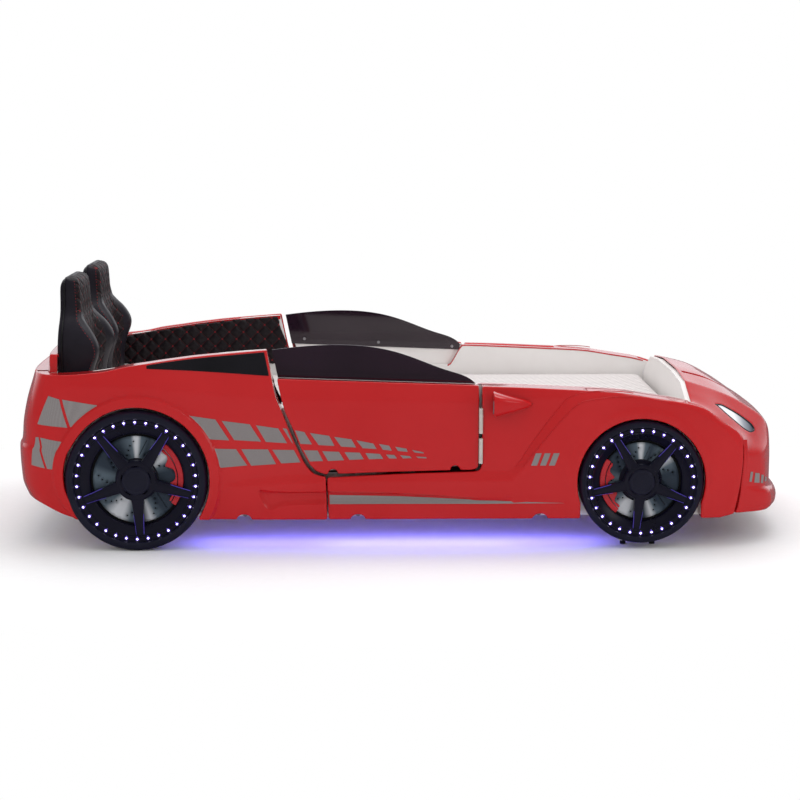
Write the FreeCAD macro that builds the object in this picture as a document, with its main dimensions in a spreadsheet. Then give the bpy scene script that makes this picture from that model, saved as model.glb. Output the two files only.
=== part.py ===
"""Children's car bed: boards, thin moulded body covers, hinged doors, wheels, seats and slatted base.

Millimetres. X runs to the car's nose, Y to the car's left side, Z up. The origin is on the floor,
under the middle of the bed.
"""
import FreeCAD, Part
import math
import os
import Sketcher
from FreeCAD import Placement, Rotation, Vector

SIZES = {
    # Steps between neighbours
    "led_band": 1.5,
    "led_bead_depth": 2.5,
    "slant_foot_step": 17,
    "lining_foot_step": 22,
    "lining_peak_step": 12,
    "board_edge_step": 6,
    "nose_foot_length": 40,
    "nose_foot_rise": 22,
    "tail_foot_rise": 20,
    "fender_top_step": 8,
    "post_overhang": 6,
    "post_clearance": 3,
    "catch_clearance": 8,
    "catch_inset": 12,
    "rim_lip_recess": 6,
    "rim_step_depth": 7,
    "rim_well_depth": 10,
    "led_recess": 13,
    "led_band_half": 5,
    "spoke_recess": 14,
    "hub_flange": 10,
    "hub_proud": 4,
    "disc_recess": 44,
    "disc_hat_flange": 6,
    "disc_outer_holes": 22,
    "disc_inner_holes": 40,
    "disc_hole_offset": 14,
    "disc_hole_count": 12,
    "foot_end_gap": 6,
    "seat_board_inset": 22,
    "seat_board_head_inset": 14,
    "seat_board_lift": 8,
    "glass_edge": 22,
    "glass_lift": 12,
    "pod_tip_rise": 34,
    "pod_tip_drop": 26,
    "strip_setback": 20,
    "controller_offset": 60,
    "controller_lift": 60,
    # Body shell
    "body_bottom": 93,
    "wall": 3,
    "seam_gap": 4,
    "running_gap": 1,
    "fit_gap": 0.3,
    "sill_half_width": 530,
    "belt_half_width": 545,
    "belt_low": 200,
    "belt_high": 440,
    "roof_half_width": 507,
    "roof_height": 620,
    # Plan shape of the two ends
    "tail_length": 1202,
    "tail_bow_start": 850,
    "tail_roundness": 5,
    "nose_length": 1178,
    "nose_bow_start": 870,
    "nose_roundness": 3,
    "tail_lid_height": 592,
    "tail_lid_half_width": 400,
    # Boards
    "board": 18,
    "inside_half_width": 460,
    "tail_board_x": -1078,
    "bulkhead_x": 870,
    "nose_board_x": 987,
    "nose_board_height": 372,
    "board_clearance": 30,
    "shoulder_drop": 40,
    "sill_height": 429,
    "leg_bottom": 12,
    "leg_top_half": 108,
    "leg_foot_half": 58,
    "glide_radius": 9,
    # Wheels
    "rear_axle_x": -814,
    "rear_axle_z": 216,
    "rear_tyre_radius": 215,
    "rear_arch_radius": 222,
    "rear_led_radius": 180.4,
    "rear_led_count": 34,
    "rear_disc_radius": 134,
    "front_axle_x": 720,
    "front_axle_z": 207,
    "front_tyre_radius": 190,
    "front_arch_radius": 195.5,
    "front_led_radius": 159.2,
    "front_led_count": 30,
    "front_disc_radius": 118,
    "tyre_wall": 20,
    "rim_lip": 3,
    "led_step": 7,
    "wheel_face": 70,
    "spoke_count": 5,
    "spoke_root": 46,
    "spoke_tip": 30,
    "spoke_thickness": 16,
    "spoke_seat": 6,
    "hub_radius": 42,
    "led_radius": 3,
    "disc_thickness": 6,
    "disc_hole_radius": 4,
    "caliper_angle": 62,
    "caliper_thickness": 7,
    # Doors and their hinges
    "door_clearance": 4,
    "door_board": 16,
    "window_sheet": 3,
    "hinge_x": 229,
    "hinge_half_width": 546,
    "hinge_bottom": 268,
    "hinge_height": 77,
    "hinge_pitch": 92,
    "knuckle_radius": 6,
    "knuckle_count": 5,
    "knuckle_gap": 0.5,
    "pin_radius": 3,
    "leaf": 2,
    "leaf_depth": 42,
    "post_width": 30,
    "screw_head_radius": 5,
    "catch_length": 46,
    "catch_height": 3.6,
    # Sleeping base
    "mattress_length": 1900,
    "mattress_width": 900,
    "mattress_thickness": 110,
    "mattress_underside": 298,
    "mattress_round": 28,
    "slat_count": 13,
    "slat_width": 70,
    "slat_thickness": 12,
    "slat_pitch": 142,
    "first_slat": 20,
    "rail_width": 28,
    "rail_height": 45,
    "beam_width": 40,
    "beam_height": 60,
    # Soft parts
    "seat_centre": 222,
    "seat_back_board": 12,
    "seat_bottom": 415,
    "seat_half_width": 200,
    "seat_shoulder_height": 650,
    "head_half_width": 120,
    "head_bottom": 722,
    "seat_channel_half": 112,
    "seat_pad": 60,
    "seat_top": 820,
    "seat_channel_pitch": 62,
    "seat_channel_count": 4,
    "lining": 14,
    "lining_round": 6,
    "lining_start": 140,
    "lining_bottom": 436,
    "lining_front": 30,
    # Trim and lights
    "window_trim": 2,
    "mirror_base": 71,
    "mirror_height": 76,
    "mirror_length": 120,
    "mirror_setback": 25,
    "mirror_bottom": 417,
    "mirror_glass": 2,
    "lamp_depth": 26,
    "lamp_half_start": 300,
    "strip_height": 8,
    "strip_width": 10,
    "strip_length": 1180,
    "controller_length": 110,
    "controller_width": 60,
    "controller_height": 38,
    "bolt_radius": 8,
    "bolt_head": 6,
    "notch_half": 22,
    "notch_height": 16,
}

# Styling points of the side view: distance ahead of the origin, and height.
POINTS = {
    "tail_under": (-1019, 93),
    "tail_rise": (-1131, 147),
    "quarter_tail": (-1080, 538),
    "quarter_rear": (-951, 545),
    "quarter_mid": (-774, 573),
    "quarter_shoulder": (-617, 594),
    "quarter_peak": (-417, 611),
    "slant_high": (-389, 471),
    "slant_mid": (-353, 380),
    "slant_low": (-302, 266),
    "slant_toe": (-268, 238),
    "slant_foot": (-240, 230),
    "split_foot": (-236, 93),
    "door_high": (-386, 527),
    "door_mid": (-338, 373),
    "door_low": (-288, 265),
    "door_toe": (-262, 243),
    "door_foot": (-238, 236),
    "door_sill": (205, 249),
    "door_corner": (223, 268),
    "door_peak": (223, 506),
    "fender_heel": (233, 503),
    "fender_a": (361, 499),
    "fender_b": (511, 492),
    "fender_c": (656, 484),
    "fender_d": (746, 470),
    "fender_e": (871, 447),
    "fender_f": (960, 397),
    "fender_g": (1017, 356),
    "seam_top": (1030, 334),
    "seam_mid": (1033, 281),
    "seam_low": (1026, 200),
    "seam_foot": (1008, 104),
    "fender_toe": (963, 93),
    "pane_low_rear": (-381, 505),
    "pane_rear": (-402, 608),
    "pane_crown": (-199, 623),
    "pane_a": (-43, 605),
    "pane_b": (37, 579),
    "pane_c": (130, 544),
    "pane_d": (204, 514),
    "pane_tip": (216, 503),
    "pane_low_front": (214, 482),
    "trim_tip": (-777, 556),
    "trim_mid": (-617, 549),
    "trim_low": (-407, 533),
    "cut_low": (172, 429),
    "cut_turn": (183, 435),
    "cut_high": (222, 497),
    "lamp_a": (929, 428),
    "lamp_b": (978, 424),
    "lamp_c": (1018, 404),
    "lamp_d": (1052, 380),
    "lamp_e": (1070, 352),
    "lamp_f": (1056, 328),
    "lamp_g": (1030, 346),
    "lamp_h": (990, 376),
    "screw_a": (-336, 522),
    "screw_b": (-73, 509),
    "screw_c": (188, 494),
    "notch_a": (-489, 93),
    "notch_b": (-143, 93),
    "notch_c": (412, 93),
    "catch": (8, 247),
}

# Plan length and width of the body at the heights where its moulded ends change shape.
TAIL_SECTIONS = ((93, -62), (200, -3), (289, 0), (440, -27), (520, -52), (592, -74))
BUMPER_SECTIONS = ((95, 8), (105, 19), (122, 24), (136, 18), (160, 0), (280, -2))
HOOD_SECTIONS = ((280, -2, 0), (310, -6, 0), (340, -14, 0), (369, -38, -4), (398, -76, -22),
                 (418, -104, -60), (436, -132, -126), (462, -176, -174), (484, -219, -226),
                 (496, -262, -320), (500, -286, -400))
SEAT_SIDE = ((0, 415), (0.5, 770), (1.5, 785), (5, 799), (14, 813), (30, 820), (40, 816), (44, 800), (45, 762),
             (46, 712), (54, 692), (83, 656), (97, 636), (107, 616), (111, 598), (107, 576), (95, 548), (83, 490), (80, 415))
# Bulkhead outline: loss of half width and height, from the shoulder to the crown.
BULKHEAD_ROWS = ((0, 408), (-45, 434), (-155, 479), (-330, 492))
SIDES = (("right", -1), ("left", 1))
WHEELS = ("rear", "front")

# Length of the tools that pass right across the bed, on each side of its middle.
REACH = 700.0

doc = FreeCAD.newDocument("CarBed")
nodes = {}


class Dim:
    """A size with both its number and the sheet expression that gives it."""

    def __init__(self, value, text):
        self.value = value
        self.text = text

    def __add__(self, other):
        other = as_dim(other)
        return Dim(self.value + other.value, f"({self.text} + {other.text})")

    def __sub__(self, other):
        other = as_dim(other)
        return Dim(self.value - other.value, f"({self.text} - {other.text})")

    def __mul__(self, other):
        other = as_dim(other)
        return Dim(self.value * other.value, f"({self.text} * {other.text})")

    def __truediv__(self, other):
        other = as_dim(other)
        return Dim(self.value / other.value, f"({self.text} / {other.text})")

    def __neg__(self):
        return Dim(-self.value, f"(0 - {self.text})")


def as_dim(thing):
    """Turns a plain number into a Dim and leaves a Dim as it is."""
    if isinstance(thing, Dim):
        return thing
    return Dim(float(thing), f"{float(thing):g}")


class Namespace:
    """Holds the sheet's sizes as attributes."""


def make_sheet():
    """Writes every size and styling point to the sheet and returns them by name."""
    sheet = doc.addObject("Spreadsheet::Sheet", "Sizes")
    rows = dict(SIZES)
    for name, (x, z) in POINTS.items():
        rows[name + "_x"] = x
        rows[name + "_z"] = z
    sizes = Namespace()
    for row, (name, value) in enumerate(rows.items(), start=1):
        sheet.set(f"A{row}", name)
        sheet.set(f"B{row}", str(value))
        sheet.setAlias(f"B{row}", name)
        setattr(sizes, name, Dim(float(value), f"Sizes.{name}"))
    doc.recompute()
    return sizes


S = make_sheet()


def point(name):
    """One styling point as a pair of Dims."""
    return getattr(S, name + "_x"), getattr(S, name + "_z")


def spot(name, dx=0.0, dz=0.0):
    """One styling point as plain numbers, moved by dx and dz."""
    x, z = point(name)
    return x.value + dx, z.value + dz


# ---------------------------------------------------------------- bound primitives

def bind(thing, **sizes):
    """Binds properties of a primitive to sheet expressions."""
    for name, size in sizes.items():
        thing.setExpression(name, as_dim(size).text)


def place(thing, x=0, y=0, z=0):
    """Binds the position of an object to sheet expressions."""
    for axis, size in (("x", x), ("y", y), ("z", z)):
        thing.setExpression(f".Placement.Base.{axis}", as_dim(size).text)


def across(sign, inner, outer):
    """Start and length along Y of something that spans two distances from the middle."""
    inner, outer = as_dim(inner), as_dim(outer)
    start = inner if sign > 0 else -outer
    return start, outer - inner


def make_box(name, x, length, y, width, z, height):
    box = doc.addObject("Part::Box", name)
    bind(box, Length=length, Width=width, Height=height)
    place(box, x, y, z)
    return box


def make_rod(name, axis, x, y, z, radius, length):
    """A cylinder along +Z, or along the Y direction given by the sign in axis."""
    rod = doc.addObject("Part::Cylinder", name)
    bind(rod, Radius=radius, Height=length)
    if axis != "z":
        turn = 90 if axis < 0 else -90
        rod.Placement = Placement(Vector(0, 0, 0), Rotation(Vector(1, 0, 0), turn))
    place(rod, x, y, z)
    return rod


def fuse(name, parts):
    joined = doc.addObject("Part::MultiFuse", name)
    joined.Shapes = parts
    return joined


def cut(name, base, tool):
    result = doc.addObject("Part::Cut", name)
    result.Base = base
    result.Tool = tool
    return result


def group(name, parts):
    bundle = doc.addObject("Part::Compound", name)
    bundle.Links = parts
    return bundle


def solid_feature(name, shape):
    feature = doc.addObject("Part::Feature", name)
    feature.Shape = shape
    return feature


def node(name, thing):
    """Registers one finished sub-part under its file name."""
    thing.Label = name
    nodes[name] = thing
    return thing


# ---------------------------------------------------------------- bound sketches

def origin_plane(body, role):
    return next(item for item in body.Origin.OriginFeatures if item.Role == role)


def new_body(name):
    return doc.addObject("PartDesign::Body", name)


def new_sketch(body, role, name, offset=None):
    sketch = body.newObject("Sketcher::SketchObject", name)
    sketch.AttachmentSupport = [(origin_plane(body, role), "")]
    sketch.MapMode = "FlatFace"
    if offset is not None:
        sketch.setExpression(".AttachmentOffset.Base.z", as_dim(offset).text)
    return sketch


def pin_corner(sketch, index, corner):
    """Holds the start of one sketch line at its bound place."""
    for kind, size in zip(("DistanceX", "DistanceY"), corner):
        size = as_dim(size)
        number = sketch.addConstraint(
            Sketcher.Constraint(kind, -1, 1, index, 1, size.value))
        sketch.setExpression(f"Constraints[{number}]", size.text)


def draw_polygon(sketch, corners):
    """A closed outline with every corner bound to the sheet."""
    ends = [Vector(as_dim(x).value, as_dim(y).value, 0) for x, y in corners]
    first = sketch.GeometryCount
    for start, end in zip(ends, ends[1:] + ends[:1]):
        sketch.addGeometry(Part.LineSegment(start, end), False)
    count = len(corners)
    for step in range(count):
        following = first + (step + 1) % count
        sketch.addConstraint(Sketcher.Constraint("Coincident", first + step, 2, following, 1))
    for step, corner in enumerate(corners):
        pin_corner(sketch, first + step, corner)


def draw_circle(sketch, x, y, radius):
    x, y, radius = as_dim(x), as_dim(y), as_dim(radius)
    index = sketch.addGeometry(
        Part.Circle(Vector(x.value, y.value, 0), Vector(0, 0, 1), radius.value), False)
    for kind, size in (("DistanceX", x), ("DistanceY", y)):
        number = sketch.addConstraint(Sketcher.Constraint(kind, -1, 1, index, 3, size.value))
        sketch.setExpression(f"Constraints[{number}]", size.text)
    number = sketch.addConstraint(Sketcher.Constraint("Radius", index, radius.value))
    sketch.setExpression(f"Constraints[{number}]", radius.text)


def add_pad(body, sketch, length, back=False):
    pad = body.newObject("PartDesign::Pad", sketch.Name + "Pad")
    pad.Profile = sketch
    pad.Reversed = back
    bind(pad, Length=length)
    return pad


def add_pocket(body, sketch, length, back=False):
    pocket = body.newObject("PartDesign::Pocket", sketch.Name + "Pocket")
    pocket.Profile = sketch
    pocket.Reversed = back
    bind(pocket, Length=length)
    return pocket


def add_revolution(body, sketch):
    turned = body.newObject("PartDesign::Revolution", sketch.Name + "Turned")
    turned.Profile = sketch
    turned.ReferenceAxis = (sketch, ["V_Axis"])
    turned.Angle = 360
    return turned


def repeat_around(body, feature, count):
    """Repeats a feature round the wheel axis, which is the body's Y axis."""
    pattern = body.newObject("PartDesign::PolarPattern", feature.Name + "Pattern")
    pattern.Originals = [feature]
    axis = next(item for item in body.Origin.OriginFeatures if item.Role == "Y_Axis")
    pattern.Axis = (axis, [""])
    pattern.Angle = 360
    bind(pattern, Occurrences=count)
    body.Tip = pattern
    return pattern


# ---------------------------------------------------------------- body outlines

def line(start, end):
    return Part.LineSegment(Vector(start[0], 0, start[1]), Vector(end[0], 0, end[1])).toShape()


def curve(points):
    """A smooth line through side-view points."""
    spline = Part.BSplineCurve()
    spline.interpolate([Vector(x, 0, z) for x, z in points])
    return spline.toShape()


def chain(*stretches):
    """A closed side-view face from smooth stretches, each a list of points."""
    edges = []
    for number, stretch in enumerate(stretches):
        edges.append(curve(stretch) if len(stretch) > 2 else line(*stretch))
        following = stretches[(number + 1) % len(stretches)][0]
        if math.dist(stretch[-1], following) > 1e-6:
            edges.append(line(stretch[-1], following))
    return Part.Face(Part.Wire(edges))


def arch_hole(wheel, grow):
    """The round hole that a wheel looks out of, as a tool across the whole bed."""
    radius = getattr(S, wheel + "_arch_radius").value + grow
    centre = Vector(getattr(S, wheel + "_axle_x").value, -REACH, getattr(S, wheel + "_axle_z").value)
    return Part.makeCylinder(radius, 2 * REACH, centre, Vector(0, 1, 0))


def quarter_outline(inset=0.0):
    """Side view of the rear quarter cover; its tail end is left to the moulded tail."""
    far = -S.tail_length.value - 40
    fall = S.tail_rise_z.value - S.tail_under_z.value
    run = S.tail_rise_x.value - S.tail_under_x.value
    far_z = S.tail_under_z.value + fall / run * (far - S.tail_under_x.value)
    top = [(far, S.quarter_tail_z.value - inset)]
    top += [spot(name, 0, -inset) for name in
            ("quarter_tail", "quarter_rear", "quarter_mid", "quarter_shoulder", "quarter_peak")]
    top[-1] = (top[-1][0] - inset, top[-1][1])
    slant = [spot(name, -inset, 0) for name in
             ("quarter_peak", "slant_high", "slant_mid", "slant_low")]
    slant[0] = top[-1]
    slant += [spot("slant_toe", -inset, -inset), spot("slant_foot", -inset, -inset)]
    foot = spot("split_foot", -inset, inset)
    return chain(top[:2], top[1:], slant, [slant[-1], foot],
                 [foot, spot("tail_under", 0, inset)],
                 [spot("tail_under", 0, inset), (far, far_z + inset)])


def fender_outline(inset=0.0, grow=0.0):
    """Side view of the cover that runs from below the door to the nose."""
    top = [spot(name, grow, grow - inset) for name in
           ("fender_heel", "fender_a", "fender_b", "fender_c", "fender_d", "fender_e",
            "fender_f", "fender_g", "seam_top")]
    top[0] = (top[0][0] + inset, top[0][1])
    top[-1] = (top[-1][0] - inset, top[-1][1])
    seam = [top[-1]] + [spot(name, grow - inset, 0) for name in ("seam_mid", "seam_low")]
    seam += [spot("seam_foot", grow - inset, inset - grow)]
    gap = S.seam_gap.value
    sill = [spot("split_foot", gap + inset, inset),
            spot("slant_foot", gap + inset, -inset),
            spot("door_sill", 0, -gap - 2 - inset),
            (S.fender_heel_x.value + inset, S.door_corner_z.value - inset),
            top[0]]
    return chain(top, seam, [seam[-1], spot("fender_toe", 0, inset)],
                 [spot("fender_toe", 0, inset), sill[0]],
                 sill[0:2], sill[1:3], sill[2:4], sill[3:5])


def door_outline(inset=0.0):
    rear = [spot("door_high", inset, -inset)]
    rear += [spot(name, inset, 0) for name in ("door_mid", "door_low")]
    rear += [spot("door_toe", inset, inset), spot("door_foot", inset, inset)]
    corners = [rear[-1], spot("door_sill", 0, inset), spot("door_corner", -inset, inset),
               spot("door_peak", -inset, -inset), rear[0]]
    return chain(rear, corners[0:2], corners[1:3], corners[2:4], corners[3:5])


def half_width_at(height):
    """Half the body's width at a height: upright at the belt, drawn in above and below it."""
    steps = ((S.body_bottom.value, S.sill_half_width.value),
             (S.belt_low.value, S.belt_half_width.value),
             (S.belt_high.value, S.belt_half_width.value),
             (S.roof_height.value, S.roof_half_width.value))
    for (low, narrow), (high, wide) in zip(steps, steps[1:]):
        if height <= high or high == S.roof_height.value:
            share = min(1.0, (height - low) / (high - low))
            return narrow + share * (wide - narrow)


def bow(start_x, reach, half_width, roundness, height, first, last, steps=8):
    """A plan curve at one height: a rounded end of the body between two polar angles in degrees."""
    points = []
    for step in range(steps + 1):
        angle = math.radians(first + (last - first) * step / steps)
        sine, cosine = round(math.sin(angle), 9), round(math.cos(angle), 9)
        across_y = math.copysign(abs(sine) ** (2 / roundness), sine)
        along = abs(cosine) ** (2 / roundness)
        points.append(Vector(start_x + reach * along, half_width * across_y, height))
    spline = Part.BSplineCurve()
    spline.interpolate(points)
    return spline.toShape()


def side_block(inner, skin, sign):
    """The space between a distance from the middle and the body's side surface."""
    rows = [S.body_bottom.value - 60, S.belt_low.value, S.belt_high.value]
    rows += [height for height, _ in TAIL_SECTIONS if height > S.belt_high.value]
    rows += [max(S.roof_height.value, rows[-1] + 1), max(S.roof_height.value, rows[-1]) + 60]
    corners = [Vector(-2 * REACH, sign * inner, rows[0])]
    corners += [Vector(-2 * REACH, sign * (half_width_at(row) + skin), row) for row in rows]
    corners += [Vector(-2 * REACH, sign * inner, rows[-1])]
    profile = Part.Face(Part.makePolygon(corners + corners[:1]))
    block = profile.extrude(Vector(4 * REACH, 0, 0))
    start = S.nose_bow_start.value
    reach = S.nose_length.value - start + skin
    edge = bow(start, reach, S.belt_half_width.value + skin, S.nose_roundness.value, 0, 0, 90)
    tip = Vector(start, S.belt_half_width.value + skin, 0)
    corners = [tip, Vector(-2 * REACH, tip.y, 0), Vector(-2 * REACH, 0, 0), Vector(start + reach, 0, 0)]
    sides = [Part.LineSegment(a, b).toShape() for a, b in zip(corners, corners[1:])]
    plan = Part.Face(Part.Wire([edge] + sides)).extrude(Vector(0, 0, 2 * REACH))
    if sign < 0:
        plan = plan.mirror(Vector(0, 0, 0), Vector(0, 1, 0))
    return block.common(plan)


def prism(face):
    """A side-view face as a tool across the whole bed."""
    moved = face.copy()
    moved.translate(Vector(0, -REACH, 0))
    return moved.extrude(Vector(0, 2 * REACH, 0))


def one_solid(shape):
    """The largest solid of a shape, clean of seams."""
    solids = sorted(shape.Solids, key=lambda solid: solid.Volume)
    return solids[-1].removeSplitter()


# ---------------------------------------------------------------- moulded covers

def tail_block(inset, side_inner, seam_y, sign, board_x):
    """The moulded tail on one side of the seam, as a block down to the boards."""
    start = -S.tail_bow_start.value
    wires = []
    for height, setback in TAIL_SECTIONS:
        half = half_width_at(height) - inset
        reach = S.tail_length.value + setback + start - inset
        turn = math.degrees(math.asin(min(1.0, (seam_y / half)) ** (S.tail_roundness.value / 2)))
        corner = bow(start, -reach, half, S.tail_roundness.value, height, 90, turn)
        end = corner.Vertexes[-1].Point
        corners = [end, Vector(board_x, end.y, height), Vector(board_x, side_inner, height),
                   Vector(S.split_foot_x.value + REACH, side_inner, height),
                   Vector(S.split_foot_x.value + REACH, half, height), Vector(start, half, height)]
        sides = [Part.LineSegment(a, b).toShape() for a, b in zip(corners, corners[1:])]
        wires.append(Part.Wire([corner] + sides))
    block = Part.makeLoft(wires, True, True)
    if sign < 0:
        block = block.mirror(Vector(0, 0, 0), Vector(0, 1, 0))
    return block


def quarter_cover(side, sign):
    """The rear side cover: tail corner, wheel arch and the quarter above it."""
    inner = S.inside_half_width.value + S.board.value
    wall = S.wall.value
    seam = S.tail_lid_half_width.value
    outer = tail_block(0.0, inner, seam, sign, S.tail_board_x.value)
    outer = outer.common(prism(quarter_outline())).cut(arch_hole("rear", 0))
    hollow = tail_block(wall, inner - wall, seam + wall, sign, S.tail_board_x.value + wall)
    hollow = hollow.common(prism(quarter_outline(wall))).cut(arch_hole("rear", wall))
    shell = outer.cut(hollow)
    shell = shell.cut(bottom_notch("notch_a"))
    return node(f"rear_quarter_cover_{side}", solid_feature("QuarterCover" + side, one_solid(shell)))


def bottom_notch(name):
    """A half-round notch in the lower edge of a side cover."""
    x, z = spot(name)
    half = S.notch_half.value
    rise = S.notch_height.value
    radius = (half ** 2 + rise ** 2) / (2 * rise)
    centre = Vector(x, -REACH, z + rise - radius)
    return Part.makeCylinder(radius, 2 * REACH, centre, Vector(0, 1, 0))


def front_arch(grow):
    """The front arch: round above, with straight legs below."""
    axle_x, axle_z = S.front_axle_x.value, S.front_axle_z.value
    radius = S.front_arch_radius.value
    drop = radius / 3
    half = math.sqrt(radius ** 2 - drop ** 2) + grow
    legs = Part.makeBox(2 * half, 2 * REACH, axle_z - drop, Vector(axle_x - half, -REACH, 0))
    return arch_hole("front", grow).fuse(legs)


def fender_cover(side, sign):
    """The front side cover: sill below the door, wheel arch and fender crest."""
    inner = S.inside_half_width.value + S.board.value
    wall = S.wall.value
    outer = side_block(inner, 0.0, sign)
    outer = outer.common(prism(fender_outline())).cut(front_arch(0.0))
    hollow = side_block(inner - wall, -wall, sign)
    hollow = hollow.common(prism(fender_outline(wall))).cut(front_arch(wall))
    shell = outer.cut(hollow)
    for name in ("notch_b", "notch_c"):
        shell = shell.cut(bottom_notch(name))
    shell = shell.cut(hinge_relief(sign)).cut(lamp_prism(S.wall.value, sign))
    return node(f"front_side_cover_{side}", solid_feature("FenderCover" + side, one_solid(shell)))


def hinge_relief(sign):
    """Room for the hinge knuckles in the skin's edge."""
    grown = S.knuckle_radius.value + S.running_gap.value
    relief = None
    for number in range(2):
        low = S.hinge_bottom.value + number * S.hinge_pitch.value - S.running_gap.value
        height = S.hinge_height.value + 2 * S.running_gap.value
        centre = Vector(S.hinge_x.value, sign * S.hinge_half_width.value, low)
        bore = Part.makeCylinder(grown, height, centre)
        relief = bore if relief is None else relief.fuse(bore)
    return relief


def nose_wires(sections, inset, roundness, overcut=0.0):
    """Closed outlines for a moulded nose block from plan sections given as height, setback and loss of half width."""
    start = S.nose_bow_start.value
    wires = []
    for height, setback, narrowing in sections:
        half = half_width_at(height) + narrowing - inset
        reach = S.nose_length.value + setback - start - inset
        edge = bow(start, reach, half, roundness, height, 90, -90, 12)
        corners = [Vector(start, -half, height), Vector(start - overcut - 1e-3, -half, height),
                   Vector(start - overcut - 1e-3, half, height), Vector(start, half, height)]
        sides = [Part.LineSegment(a, b).toShape() for a, b in zip(corners, corners[1:])]
        wires.append(Part.Wire([edge] + sides))
    return wires


def nose_block(inset):
    """The whole nose as a block: bumper with its lip, and the hood above it."""
    roundness = S.nose_roundness.value
    over = 20.0 if inset else 0.0
    bumper = [(height, setback, 0.0) for height, setback in BUMPER_SECTIONS]
    if inset:
        bumper[0] = (bumper[0][0] - over, bumper[0][1], 0.0)
    hood = [(height - inset * (number > 0), setback, narrow)
            for number, (height, setback, narrow) in enumerate(HOOD_SECTIONS)]
    lower = Part.makeLoft(nose_wires(bumper, inset, roundness, over), True, True)
    upper = Part.makeLoft(nose_wires(hood, inset, roundness, over), True, True)
    return lower.fuse(upper)


def fender_zone(grow, sign):
    """What the nose leaves free for a front side cover and its board."""
    inner = S.inside_half_width.value - S.fit_gap.value
    width = REACH - inner
    zone = prism(fender_outline(0.0, grow))
    floor_y = inner if sign > 0 else -REACH
    return zone.common(Part.makeBox(4 * REACH, width, 2 * REACH, Vector(-2 * REACH, floor_y, 0)))


def front_cover():
    """The one-piece nose: hood, lamp surrounds, bumper and lip."""
    shell = nose_block(0.0).cut(nose_block(S.wall.value))
    for _, sign in SIDES:
        shell = shell.cut(fender_zone(S.running_gap.value, sign))
        shell = shell.cut(lamp_prism(S.wall.value, sign))
    return node("front_cover", solid_feature("FrontCover", one_solid(shell)))


def lamp_outline(grow=0.0):
    """Side view of the almond-shaped lamp opening, shrunk or grown about its middle."""
    names = ["lamp_" + letter for letter in "abcdefgh"]
    places = [spot(name) for name in names]
    middle_x = sum(x for x, _ in places) / len(places)
    middle_z = sum(z for _, z in places) / len(places)
    moved = []
    for x, z in places:
        length = math.dist((x, z), (middle_x, middle_z))
        factor = (length + grow) / length
        moved.append((middle_x + (x - middle_x) * factor, middle_z + (z - middle_z) * factor))
    return chain(moved[:5], moved[4:] + moved[:1])


def lamp_prism(grow, sign):
    """A tool that passes through the nose skin where a lamp sits."""
    start = S.lamp_half_start.value
    face = lamp_outline(grow - S.wall.value)
    face.translate(Vector(0, sign * start, 0))
    return face.extrude(Vector(0, sign * (REACH - start), 0))


def lamps():
    """Clear lamp lenses, flush with the nose skin, and the dark trays behind them."""
    skin = nose_block(0.0).cut(nose_block(S.wall.value))
    tray_room = nose_block(S.wall.value + S.fit_gap.value).cut(nose_block(S.lamp_depth.value))
    trays = []
    for side, sign in SIDES:
        opening = lamp_prism(S.wall.value - S.fit_gap.value, sign)
        lens = one_solid(skin.common(opening).cut(fender_zone(0.0, sign)))
        node(f"headlamp_lens_{side}", solid_feature("LampLens" + side, lens))
        tray = one_solid(tray_room.common(opening).cut(fender_zone(0.0, sign)))
        trays.append(solid_feature("LampTray" + side, tray))
    node("headlamp_trays", group("LampTrays", trays))


def rear_cover():
    """The tail panel between the quarter covers, with its raised lid edge behind the seats."""
    wall = S.wall.value
    start = -S.tail_bow_start.value
    seam = S.tail_lid_half_width.value - S.running_gap.value / 2
    board_x = S.tail_board_x.value

    def block(inset, back_x):
        wires = []
        for height, setback in TAIL_SECTIONS:
            half = half_width_at(height)
            reach = S.tail_length.value + setback + start - inset
            turn = math.degrees(math.asin(((seam - inset) / half) ** (S.tail_roundness.value / 2)))
            edge = bow(start, -reach, half, S.tail_roundness.value, height, turn, -turn, 12)
            first, last = edge.Vertexes[0].Point, edge.Vertexes[-1].Point
            corners = [last, Vector(back_x, last.y, height), Vector(back_x, first.y, height), first]
            sides = [Part.LineSegment(a, b).toShape() for a, b in zip(corners, corners[1:])]
            wires.append(Part.Wire([edge] + sides))
        return Part.makeLoft(wires, True, True)

    slope = (S.tail_rise_z.value - S.tail_under_z.value) / (S.tail_rise_x.value - S.tail_under_x.value)

    def under(inset):
        front_x, rear_x = board_x + 2 * wall, -S.tail_length.value - 1
        heights = [S.tail_under_z.value + slope * (x - S.tail_under_x.value) + inset
                   for x in (front_x, rear_x)]
        high = S.tail_lid_height.value - inset
        corners = [(front_x, heights[0]), (rear_x, heights[1]), (rear_x, high), (front_x, high)]
        return prism(chain(*[[a, b] for a, b in zip(corners, corners[1:] + corners[:1])]))

    shell = block(0.0, board_x).common(under(0.0)).cut(block(wall, board_x + wall).common(under(wall)))
    return node("rear_cover", solid_feature("RearCover", one_solid(shell)))


# ---------------------------------------------------------------- boards

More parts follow.
